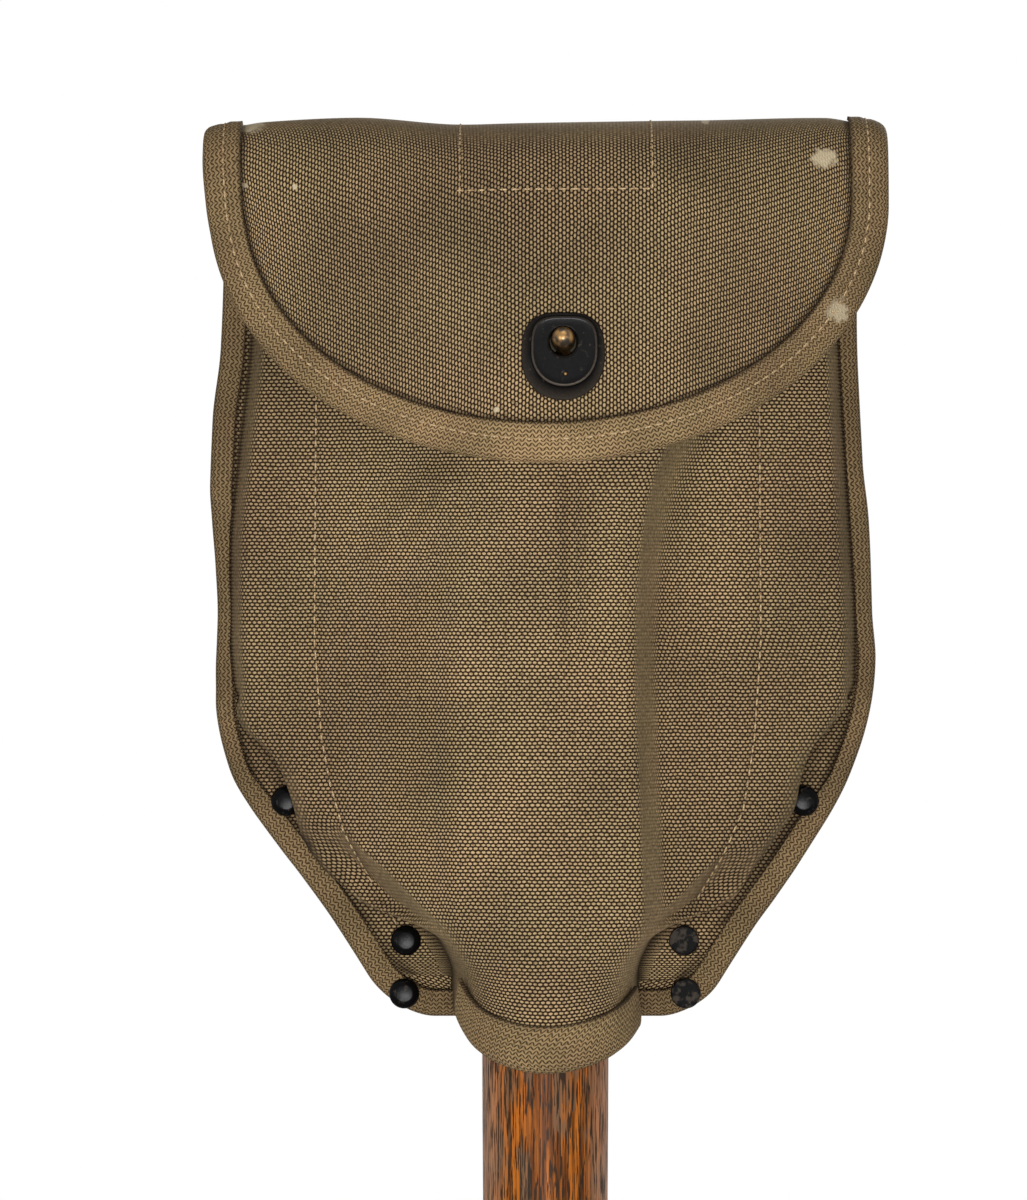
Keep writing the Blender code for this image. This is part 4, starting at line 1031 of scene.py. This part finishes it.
class CARRIER_OT_front(bpy.types.Operator):
    """Domed canvas front with its lining and the lining's stitch lines"""

    bl_idname = "carrier.front"
    bl_label = "Front Canvas"

    def execute(self, context):
        form = CarrierForm(context)
        top = MOUTH_Z - form.hem_inset
        end = LOOP_Z + form.hem_inset + form.foot_lift
        margin = 0.0625  # share of each half outside its seam
        lap = 8 * MM

        def flank(z):
            """1 along the slanting flanks, where the dome laps over its own seam."""
            return ease((-118 * MM - z) / (14 * MM)) * ease((z + 188 * MM) / (12 * MM))

        def place(u, v):
            side = 1 if u > 0.5 else -1
            t = abs(2 * u - 1)
            z = between(top, end, v)
            seam = seam_half(side, z)
            edge = seam + 0.4 * MM
            if z >= form.foot_z:
                edge = max(form.outline_half(z, side) - form.edge_inset - form.edge_ease, edge)
            x = seam * t / (1 - margin)
            if t > 1 - margin:
                x = between(seam, edge, (t - 1 + margin) / margin)
            depth = form.front_depth(side * x, z)
            inside = clamp((seam - x) / form.wall_run)
            x += lap * flank(z) * ease((inside - 0.1) / 0.4) * (1 - ease((inside - 0.5) / 0.5))
            low_down = ease((form.foot_z + 14 * MM - z) / (form.foot_z + 14 * MM - end))
            return form.at(side * x, depth, z + form.foot_rise(side * x) * low_down)

        # Dirt and painted shade: a dark line along the tape's inner edge and at the foot of the dome's wall,
        # where the gaps lie in shade; painted shadow on the flanks under the lapping fold; darker along the
        # stitch lines; painted shade towards the sides.
        def soil(u, v, spot):
            z, x = between(top, end, v), abs(spot.x)
            reach, lean = form.tape_reach(z, spot.x)
            from_tape = (form.outline_half(max(z, form.foot_z), spot.x) - x) * lean - reach
            inside = (1 - abs(2 * u - 1) / (1 - margin)) * seam_half(spot.x, z) / form.wall_run
            if inside >= 0:
                seam = bell(inside, 0.22)
                under = flank(z) * (1 - ease((inside - 0.15) / 0.3))
            else:
                from_seam = (x - seam_half(spot.x, z)) / MM
                seam = bell(from_seam, 1.3)
                under = flank(z) * bell(from_seam, 8.5)
            sewn = 0.4 * bell(stitch_line_distance(spot.x / MM, z / MM), 0.8)
            return max(bell(from_tape, 0.9 * MM), seam, under, sewn, side_shade(x))

        item = cloth("front_canvas", 160, 190, place, form.canvas, (0, -1, 0), False, soil=soil, flat=5)
        dress(item, "carrier_duck", "carrier", "front_panel")

        lining_top = MOUTH_Z - form.mouth_tape_width - 4 * MM
        lining_end = TIP_Z + 58 * MM

        def lie(u, v):
            z = between(lining_top, lining_end, v)
            half = min(SHOULDER.at(-z) - 10 * MM, form.blade_half_width - 17 * MM)
            return form.front_point((2 * u - 1) * half, z, -form.canvas - 3 * form.gap)

        lining = cloth("front_inner_canvas", 90, 60, lie, form.lining, (0, -1, 0))
        dress(lining, "carrier_duck", "carrier", "front_lining")

        rows = []
        for points in STITCH_LINES:
            line = []
            for (xa, za), (xb, zb) in zip(points, points[1:]):
                for i in range(30):
                    spot = between(xa, xb, i / 30) * MM, between(za, zb, i / 30) * MM
                    on, out = form.front_point(*spot, 0.3 * MM), form.front_point(*spot, 1 * MM)
                    line.append((on, (out - on).normalized()))
            rows.append(line)
        sewn = stitches("lining_stitches", rows, form)
        dress(sewn, "sewing_thread", "carrier")
        return {"FINISHED"}


class CARRIER_OT_tapes(bpy.types.Operator):
    """Binding tapes of the carrier's sides, bottom, mouth and foot"""

    bl_idname = "carrier.tapes"
    bl_label = "Binding Tapes"

    def execute(self, context):
        form = CarrierForm(context)
        for word, side in (("left", -1), ("right", 1)):
            item = self.side_tape(form, word, side)
            dress(item, "carrier_tape", "carrier", "side_binding_" + word)

        hem = form.hem_inset

        def foot(u, v):
            inset, offset = tape_profile(u, form.edge_tape_width, form.edge_tape_width, hem)
            x = (2 * v - 1) * (form.flank_foot - form.corner - 8.3 * MM)
            return form.at(x, -form.canvas / 2 + offset, BOTTOM_Z + form.edge_inset - hem + inset)

        item = cloth("bottom_tape", 24, 40, foot, form.tape, (0, 0, -1), False)
        dress(item, "carrier_tape", "carrier", "bottom_binding")

        half = seam_half(0.0, MOUTH_Z) - form.wall_run - 4.5 * MM

        def mouth(u, v):
            inset, offset = tape_profile(u, form.mouth_tape_width, form.mouth_tape_width, hem)
            return form.front_point((2 * v - 1) * half, MOUTH_Z - inset, offset - form.canvas / 2)

        item = cloth("mouth_tape", 24, 140, mouth, form.tape, (0, 0, 1), False)
        dress(item, "carrier_tape", "carrier", "mouth_binding")

        radius = hem + 0.6 * MM

        def band(u, v):
            x = math.sin((v - 0.5) * math.pi) * form.foot_half(v - 0.5)
            inset, offset = tape_profile(u, form.loop_tape_width, form.loop_tape_width, radius)
            offset -= math.copysign(0.9 * MM * ease((inset - 5 * MM) / (7 * MM)), offset)
            z = LOOP_Z + inset + form.foot_lift + form.foot_rise(x)
            return form.front_point(x, z, offset - form.canvas / 2)

        item = cloth("loop_tape", 28, 90, band, form.tape, (0, 0, -1), soil=lip_shade_and_soil)
        dress(item, "foot_tape", "carrier", "loop_binding")
        return {"FINISHED"}

    def side_tape(self, form, word, side):
        """Tape round one edge, from the mouth down the flank to the bottom corner."""
        start = MOUTH_Z - 4 * MM
        levels = [between(start, BOTTOM_Z + form.corner, i / 160) for i in range(161)]
        levels += [BOTTOM_Z + form.corner * (1 - math.sin(math.radians(3 * i))) for i in range(1, 31)]
        path = [Vector((side * form.outline_half(z, side), 0.0, z)) for z in levels]
        path += [path[-1] - Vector((side * i * MM, 0.0, 0.0)) for i in range(1, 9)]
        last = len(path) - 1

        def place(u, v):
            i = round(v * last)
            spot = path[i]
            heading = (path[min(i + 1, last)] - path[max(i - 1, 0)]).normalized()
            inward = heading.cross(Vector((0.0, -side, 0.0))).normalized()
            front, _ = form.tape_reach(spot.z, side)
            inset, offset = tape_profile(u, front, form.edge_tape_width, form.edge_inset)
            point = spot + inward * inset
            return Vector((point.x, FLANGE_Y - (form.margin - form.canvas) / 2 - offset, point.z))

        return cloth("edge_tape_" + word, 24, last, place, form.tape, (side, 0, 0), False, soil=lip_shade_and_soil)


class CARRIER_OT_flap(bpy.types.Operator):
    """Canvas flap with its tape, its inner patch and its stitching"""

    bl_idname = "carrier.flap"
    bl_label = "Flap"

    def execute(self, context):
        form = CarrierForm(context)
        half = FLAP_HALF - form.hem_inset
        drop = form.flap_drop - form.hem_inset

        edge = [form.flap_edge(i / EDGE_STEPS) for i in range(EDGE_STEPS + 1)]
        rim = kdtree.KDTree(len(edge))
        for i, (spot, _) in enumerate(edge):
            rim.insert((*spot, 0.0), i)
        rim.balance()

        def laid_out(u, v):
            """x and length from the fold, on the canvas laid flat."""
            share = math.sin((2 * u - 1) * math.pi / 2)
            run = form.flap_run(form.flap_z - drop * math.sqrt(max(1 - share**2, 0.0)))
            return half * share, run * v

        def place(u, v):
            return form.flap_point(*laid_out(u, v))

        # Dirt and painted shade: a dark line along the inner edge of the flap's tape, where the gap beside
        # the tape lies in shade.
        def soil(u, v, spot):
            away = rim.find((*laid_out(u, v), 0.0))[2] - form.flap_tape_width
            return 0.9 * bell(away, 0.9 * MM)

        item = cloth(
            "flap_canvas", 150, 130, place, form.canvas, (0, -1, 0), True, True, soil=soil, hole=5.5 * MM
        )
        dress(item, "flap_duck", "fold", "flap")

        def bind(u, v):
            spot, inward = form.flap_edge(v)
            inset, offset = tape_profile(u, form.flap_tape_width, form.flap_tape_width, form.hem_inset)
            groove = form.groove_depth * bell(inset - form.groove, 0.9 * MM)
            groove += 0.6 * MM * ease((inset - 6.5 * MM) / (4 * MM))
            point = spot + inward * inset
            return form.flap_point(point.x, point.y, offset - math.copysign(groove, offset) - form.canvas / 2)

        item = cloth("flap_edge_tape", 36, 260, bind, form.tape, (0, 0, -1), False, soil=lip_shade_and_soil)
        dress(item, "flap_tape", "fold", "flap_binding")

        patch_middle = 2.7 * MM
        patch_half = 27 * MM
        start = 6 * MM
        end = form.flap_run(form.flap_z)

        def back(u, v):
            x = (2 * u - 1) * patch_half + patch_middle
            return form.flap_point(x, between(start, end, v), -form.canvas - 3 * form.gap)

        item = cloth("flap_inner_patch", 40, 50, back, form.patch, (0, -1, 1), True, True)
        dress(item, "carrier_duck", "fold", "flap_patch")

        rows = [self.edge_row(form, edge)]
        left, right = patch_middle - patch_half + 2 * MM, patch_middle + patch_half - 2 * MM
        runs = [10 * MM + (end - 12 * MM) * i / 60 for i in range(61)]
        rows.append([self.on_flap(form, left, run) for run in runs])
        rows.append([self.on_flap(form, right, run) for run in runs])
        rows.append([self.on_flap(form, between(left, right, i / 40), runs[-1]) for i in range(41)])
        sewn = stitches("flap_stitches", rows, form)
        dress(sewn, "sewing_thread", "fold")
        return {"FINISHED"}

    def on_flap(self, form, x, run, lift=0.0):
        """A point on the flap and the way out of it."""
        on = form.flap_point(x, run, lift)
        return on, (form.flap_point(x, run, lift + 1 * MM) - on).normalized()

    def edge_row(self, form, edge):
        """Line of the stitches along the tape, in its groove."""
        lift = form.hem_inset - form.canvas / 2 - form.groove_depth
        return [self.on_flap(form, *(spot + inward * form.groove), lift) for spot, inward in edge]


class CARRIER_OT_rivets(bpy.types.Operator):
    """Black rivets of the carrier's flanks and foot"""

    bl_idname = "carrier.rivets"
    bl_label = "Carrier Rivets"

    def execute(self, context):
        shank, clinch, ring = 1.2 * MM, 3 * MM, 0.8 * MM
        for word in ("left", "right"):
            for count in (1, 2, 3):
                node = f"carrier_rivet_{word}_{count}"
                centre = middle(node)
                front, back = -low(node).y, -high(node).y
                head = (high(node).x - low(node).x) / 2
                under = front - 2.0 * MM
                flat = word == "right" and count < 3
                profile = [(0.0, front), (head * 0.6, front - 0.15 * MM), (head * 0.86, front - 0.6 * MM)]
                if flat:
                    dish = front - 0.5 * MM
                    profile = [(0.0, dish), (head * 0.84, dish), (head * 0.94, front - 0.4 * MM)]
                profile += [(head, under + 0.7 * MM), (head, under), (shank, under)]
                profile += [(shank, back + ring), (clinch, back + ring), (clinch, back), (0.0, back)]
                spot = (centre.x, 0.0, centre.z)
                item = turned_piece(f"rivet_{word}_{count}", rounded(profile, 0.35 * MM), forward(spot), 40)
                dress(item, "rubbed_japan_looks" if flat else "black_japan_looks", "carrier", node)
        return {"FINISHED"}


def shield(width, height, depth, spot, square=0.6, count=96):
    """An outline in the plane of the flap, squarish above and round below."""
    made = []
    for i in range(count):
        a = 2 * math.pi * i / count
        power = square if math.sin(a) > 0 else 0.95
        px = math.copysign(abs(math.cos(a)) ** power, math.cos(a))
        pz = math.copysign(abs(math.sin(a)) ** power, math.sin(a))
        made.append((spot[0] + px * width / 2, depth, spot[1] + pz * height / 2))
    return made


# Solids of the snap that show as they are, with their finishes
SNAP_SOLIDS = {
    "stud_washer": "aged_brass_looks",
    "socket_clinch": "black_japan_looks",
    "socket_spring": "painted_steel_looks",
}


class CARRIER_OT_snap(bpy.types.Operator):
    """Snap fastener: stud and washer on the front, socket, spring and clinch on the flap"""

    bl_idname = "carrier.snap"
    bl_label = "Snap Fastener"

    def execute(self, context):
        base, face = high("socket_plate").y, low("socket_plate").y
        rise = base - face
        width = high("socket_plate").x - low("socket_plate").x
        tall = high("socket_plate").z - low("socket_plate").z
        around, hole = (PLATE.x, PLATE.z), (SNAP.x, SNAP.z + 0.1 * MM)
        plate = (PLATE.x + 0.3 * MM, PLATE.z + 1.3 * MM)
        flange_loops = ((1, 0), (1, 0.16), (0.965, 0.3))
        loops = [shield(width * s, tall * s, base - rise * h, around, 0.7) for s, h in flange_loops]
        # Wear and painted highlight of the flange's loops
        wear = [0.0, 0.25, 0.5]
        # The plate: its width in millimetres, share of the height, and how bare it is rubbed, with a painted
        # highlight along the rim
        for side, h, bare_and_lit in (
            (17.8, 0.34, 0.0), (17.3, 0.42, 0.0), (17.2, 0.86, 0.3), (16.9, 0.96, 1.2), (16.4, 1.0, 1.1),
            (15.8, 0.97, 0.1), (15.5, 0.966, 0.0), (13.0, 0.965, 0.0),
        ):
            loops.append(shield(side * MM, (side + 1) * MM, base - rise * h, plate))
            wear.append(bare_and_lit)
        # The bore: its radius in millimetres, place, and how bare it is rubbed, with a painted highlight
        for bore, y, bare_and_lit in (
            (4.3, face + 0.1 * MM, 0.0), (3.9, face + 0.1 * MM, 0.1), (3.5, face + 0.4 * MM, 0.0),
            (3.4, base - 1.6 * MM, 0.0), (5.3, base - 1.6 * MM, 0.0), (5.4, base, 0.0),
        ):
            loops.append(shield(2 * bore * MM, 2 * bore * MM, y, hole, 0.95))
            wear.append(bare_and_lit)
        dress(looped_piece("snap_socket", loops, wear), "black_japan_looks", "flap", "socket_plate")
        dot = [(0.0, 0.5 * MM), (0.35 * MM, 0.4 * MM), (0.6 * MM, 0.0), (0.0, 0.0)]
        item = turned_piece("socket_dot", dot, forward((PLATE.x + 0.6 * MM, face - 0.1 * MM, -38.2 * MM)), 16)
        dress(item, "aged_brass_looks", "flap")

        tip = -low("snap_stud").y
        tail = -high("snap_stud").y
        ball = 2.96 * MM
        flange = -high("socket_clinch").y
        rim, shank, foot = 5.5 * MM, 1.8 * MM, 2.8 * MM
        arc = [i / 10 * 2.1 for i in range(11)]
        profile = [(ball * math.sin(a), tip - ball + ball * math.cos(a)) for a in arc]
        profile += [(ball * 1.06, tip - ball - 2.3 * MM), (ball * 1.06, tip - ball - 2.9 * MM)]
        profile += [(ball * 0.74, tip - ball - 3.4 * MM), (ball * 0.74, flange - 0.6 * MM)]
        profile += [(rim, flange - 0.8 * MM), (rim, flange - 1.6 * MM), (shank, flange - 1.6 * MM)]
        profile += [(shank, tail + 0.6 * MM), (foot, tail + 0.6 * MM), (foot, tail), (0.0, tail)]
        stud = turned_piece("snap_ball_stud", profile, forward((SNAP.x, 0.0, SNAP.z)), 40)
        for vert in stud.data.vertices:
            vert.co.z += 1.2 * MM * ease((-vert.co.y - flange) / (tip - flange))
        dress(stud, "aged_brass_looks", "carrier", "snap_stud")
        for node, look in SNAP_SOLIDS.items():
            coat(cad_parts[node], look)
        return {"FINISHED"}


class CARRIER_OT_hanger(bpy.types.Operator):
    """Wire belt hook and the webbing tab that holds it"""

    bl_idname = "carrier.hanger"
    bl_label = "Belt Hanger"

    def execute(self, context):
        form = CarrierForm(context)
        wire = 2.0 * MM
        bend = 5.0 * MM
        prong = 20 * MM
        half = high("hanger_hook").x - wire
        bar = low("hanger_hook").z + wire
        wire_y = -bend
        seat = wire - bend
        hook = [Vector((half, bend, seat - prong))]
        hook += [Vector((half, bend * math.cos(a), seat + bend * math.sin(a))) for a in turn(0, 180, 24)]
        hook += [
            Vector((half - bend + bend * math.cos(a), wire_y, bar + bend + bend * math.sin(a)))
            for a in turn(0, -90, 14)
        ]
        hook += [Vector((-p.x, p.y, p.z)) for p in reversed(hook)]
        item = wire_piece("belt_hook", hook, wire)
        dress(item, "painted_steel_looks", "carrier", "hanger_hook")

        strip = BACK_Y + form.gap + form.webbing / 2
        fold = wire + form.gap + form.webbing / 2
        outer = strip + form.webbing + form.gap
        end = low("hanger_tab").z
        slope_top, slope_end = bar - 3 * MM, bar - 14 * MM
        shares = [i / 20 for i in range(21)]
        line = [(strip, between(end, bar, t)) for t in shares]
        line += [(wire_y + fold * math.cos(a), bar + fold * math.sin(a)) for a in turn(170, 0, 24)]
        line += [
            (between(wire_y + fold, outer, ease(t)), between(slope_top, slope_end, t)) for t in shares[1:]
        ]
        line += [(outer, between(slope_end, end, t)) for t in shares[1:]]
        path = [Vector((0.0, y, z)) for y, z in line]
        width = half - bend - form.gap

        def place(u, v):
            return path[round(v * (len(path) - 1))] + Vector(((2 * u - 1) * width, 0.0, 0.0))

        item = cloth("hook_webbing", 24, len(path) - 1, place, form.webbing, (0, 0, 1), False, False, 0.0)
        dress(item, "carrier_tape", "carrier", "hanger_tab")

        face = outer + form.webbing / 2
        low_z, high_z, side = end + 3 * MM, bar - 18 * MM, width - 2.5 * MM
        corners = [(-side, low_z), (side, low_z), (side, high_z), (-side, high_z), (-side, low_z)]
        lines = list(zip(corners, corners[1:])) + [(corners[0], corners[2]), (corners[1], corners[3])]
        shares = [i / 30 for i in range(31)]
        out = Vector((0, 1, 0))
        rows = [
            [(Vector((between(xa, xb, t), face, between(za, zb, t))), out) for t in shares]
            for (xa, za), (xb, zb) in lines
        ]
        sewn = stitches("webbing_stitches", rows, form)
        dress(sewn, "sewing_thread", "carrier")
        return {"FINISHED"}


def turn(start, end, steps):
    """Angles in radians between two angles in degrees."""
    return [math.radians(between(start, end, i / steps)) for i in range(steps + 1)]


class CARRIER_OT_haft(bpy.types.Operator):
    """Varnished wooden haft"""

    bl_idname = "carrier.haft"
    bl_label = "Haft"

    def execute(self, context):
        top = high("handle").z
        shoulder = low("handle_socket").z - 0.3 * MM
        span = shoulder - BUTT_Z
        haft = 16.5 * MM
        butt = 16.8 * MM
        tenon = 14.4 * MM
        profile = [(0.0, top), (tenon, top), (tenon, shoulder), (haft + 0.4 * MM, shoulder)]
        profile += [(haft, shoulder - span * 0.3), (haft - 0.5 * MM, shoulder - span * 0.5)]
        profile += [(haft, shoulder - span * 0.75), (butt, BUTT_Z + 24 * MM), (butt, BUTT_Z + 12 * MM)]
        profile += [(butt * 0.93, BUTT_Z + 5 * MM), (butt * 0.7, BUTT_Z + 1 * MM), (0.0, BUTT_Z)]
        item = turned_piece("haft", rounded(profile, 6 * MM, 8), Matrix.Translation((0, AXIS_Y, 0)), 96)
        dress(item, "varnished_ash_looks", "shovel", "handle")
        return {"FINISHED"}


class CARRIER_OT_steelwork(bpy.types.Operator):
    """Blade, hinge, socket, pins and lock nut"""

    bl_idname = "carrier.steelwork"
    bl_label = "Steelwork"

    def execute(self, context):
        for node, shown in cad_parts.items():
            if not shown.hide_render and node not in SNAP_SOLIDS:
                coat(shown, "painted_steel_looks")
        return {"FINISHED"}


class CARRIER_OT_stage(bpy.types.Operator):
    """Pale floor, soft light and the camera"""

    bl_idname = "carrier.stage"
    bl_label = "Stage"

    def execute(self, context):
        studio = context.scene.studio
        bm = bmesh.new()
        bmesh.ops.create_circle(bm, cap_ends=True, segments=96, radius=studio.floor_radius)
        bmesh.ops.translate(bm, verts=bm.verts, vec=(0.0, AXIS_Y, BUTT_Z - 2 * MM))
        floor = new_object("studio_floor", bm)
        paint = Finish("studio_floor", 0.8)
        paint.shade(Base_Color=(*colours().floor, 1.0))
        floor.data.materials.append(paint.material)
        floor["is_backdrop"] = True
        self.light("front", (0.0, -2.0, -0.45), 0.5, studio.front_power)
        self.light("left", (-1.1, -1.75, -0.35), 0.5, studio.left_power)
        self.light("right", (1.1, -1.7, -0.35), 0.9, studio.right_power)
        self.light("top", (0.1, -1.3, 1.6), 1.0, studio.top_power)
        self.light("back", (0.7, 1.9, 0.5), 1.0, studio.back_power)
        self.sky(context, studio.sky)
        lens = bpy.data.cameras.new("camera")
        lens.lens = studio.lens
        lens.sensor_width = 36.0
        lens.clip_start = 0.05
        camera = linked("camera", lens)
        aim_y = -0.015
        camera.location = (studio.picture_x, aim_y - studio.camera_distance, studio.picture_z)
        camera.rotation_euler = (math.pi / 2, 0.0, 0.0)
        context.scene.camera = camera
        context.scene.view_settings.view_transform = "Standard"
        return {"FINISHED"}

    def light(self, name, spot, size, power):
        data = bpy.data.lights.new(name, "AREA")
        data.shape = "DISK"
        data.size = size
        data.energy = power
        item = linked(name, data)
        item.location = spot
        aim = Vector((0, AXIS_Y, -0.1))
        item.rotation_euler = (aim - Vector(spot)).to_track_quat("-Z", "Y").to_euler()
        item.visible_camera = False

    def sky(self, context, strength):
        """White as the camera and glossy pieces see it, and a dimmer even light on the rest."""
        world = bpy.data.worlds.new("studio")
        context.scene.world = world
        world.use_nodes = True
        tree = world.node_tree
        rays = tree.nodes.new("ShaderNodeLightPath").outputs
        seen = tree.nodes.new("ShaderNodeMath")
        seen.operation = "MAXIMUM"
        tree.links.new(rays["Is Camera Ray"], seen.inputs[0])
        tree.links.new(rays["Is Glossy Ray"], seen.inputs[1])
        power = tree.nodes.new("ShaderNodeMapRange")
        power.inputs["To Min"].default_value = strength
        power.inputs["To Max"].default_value = 1.0
        tree.links.new(seen.outputs[0], power.inputs["Value"])
        light = tree.nodes["Background"]
        light.inputs["Color"].default_value = (1.0, 1.0, 1.0, 1.0)
        tree.links.new(power.outputs[0], light.inputs["Strength"])


STEPS = (
    CARRIER_OT_back,
    CARRIER_OT_front,
    CARRIER_OT_tapes,
    CARRIER_OT_flap,
    CARRIER_OT_rivets,
    CARRIER_OT_snap,
    CARRIER_OT_hanger,
    CARRIER_OT_haft,
    CARRIER_OT_steelwork,
    CARRIER_OT_stage,
)


class CARRIER_PT_panel(bpy.types.Panel):
    """Steps that dress the camp shovel, and the sizes that they use"""

    bl_idname = "CARRIER_PT_panel"
    bl_label = "Camp Shovel"
    bl_space_type = "VIEW_3D"
    bl_region_type = "UI"
    bl_category = "Camp Shovel"

    def draw(self, context):
        for step in STEPS:
            self.layout.operator(step.bl_idname)
        for group in (context.scene.carrier_sizes, context.scene.finishes, context.scene.studio):
            box = self.layout.box()
            for name in group.__annotations__:
                box.prop(group, name)


CLASSES = (CarrierSizes, Finishes, Studio, *STEPS, CARRIER_PT_panel)


def register():
    for item in CLASSES:
        bpy.utils.register_class(item)
    bpy.types.Scene.carrier_sizes = bpy.props.PointerProperty(type=CarrierSizes)
    bpy.types.Scene.finishes = bpy.props.PointerProperty(type=Finishes)
    bpy.types.Scene.studio = bpy.props.PointerProperty(type=Studio)


def unregister():
    del bpy.types.Scene.studio
    del bpy.types.Scene.finishes
    del bpy.types.Scene.carrier_sizes
    for item in reversed(CLASSES):
        bpy.utils.unregister_class(item)


def main():
    register()
    bpy.ops.carrier.back()
    bpy.ops.carrier.front()
    bpy.ops.carrier.tapes()
    bpy.ops.carrier.flap()
    bpy.ops.carrier.rivets()
    bpy.ops.carrier.snap()
    bpy.ops.carrier.hanger()
    bpy.ops.carrier.haft()
    bpy.ops.carrier.steelwork()
    bpy.ops.carrier.stage()
    boxes = {"cad": CAD_BOX, "visual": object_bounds()}
    {name: [list(corner) for corner in box] for name, box in boxes.items()}


if __name__ == "__main__":
    main()
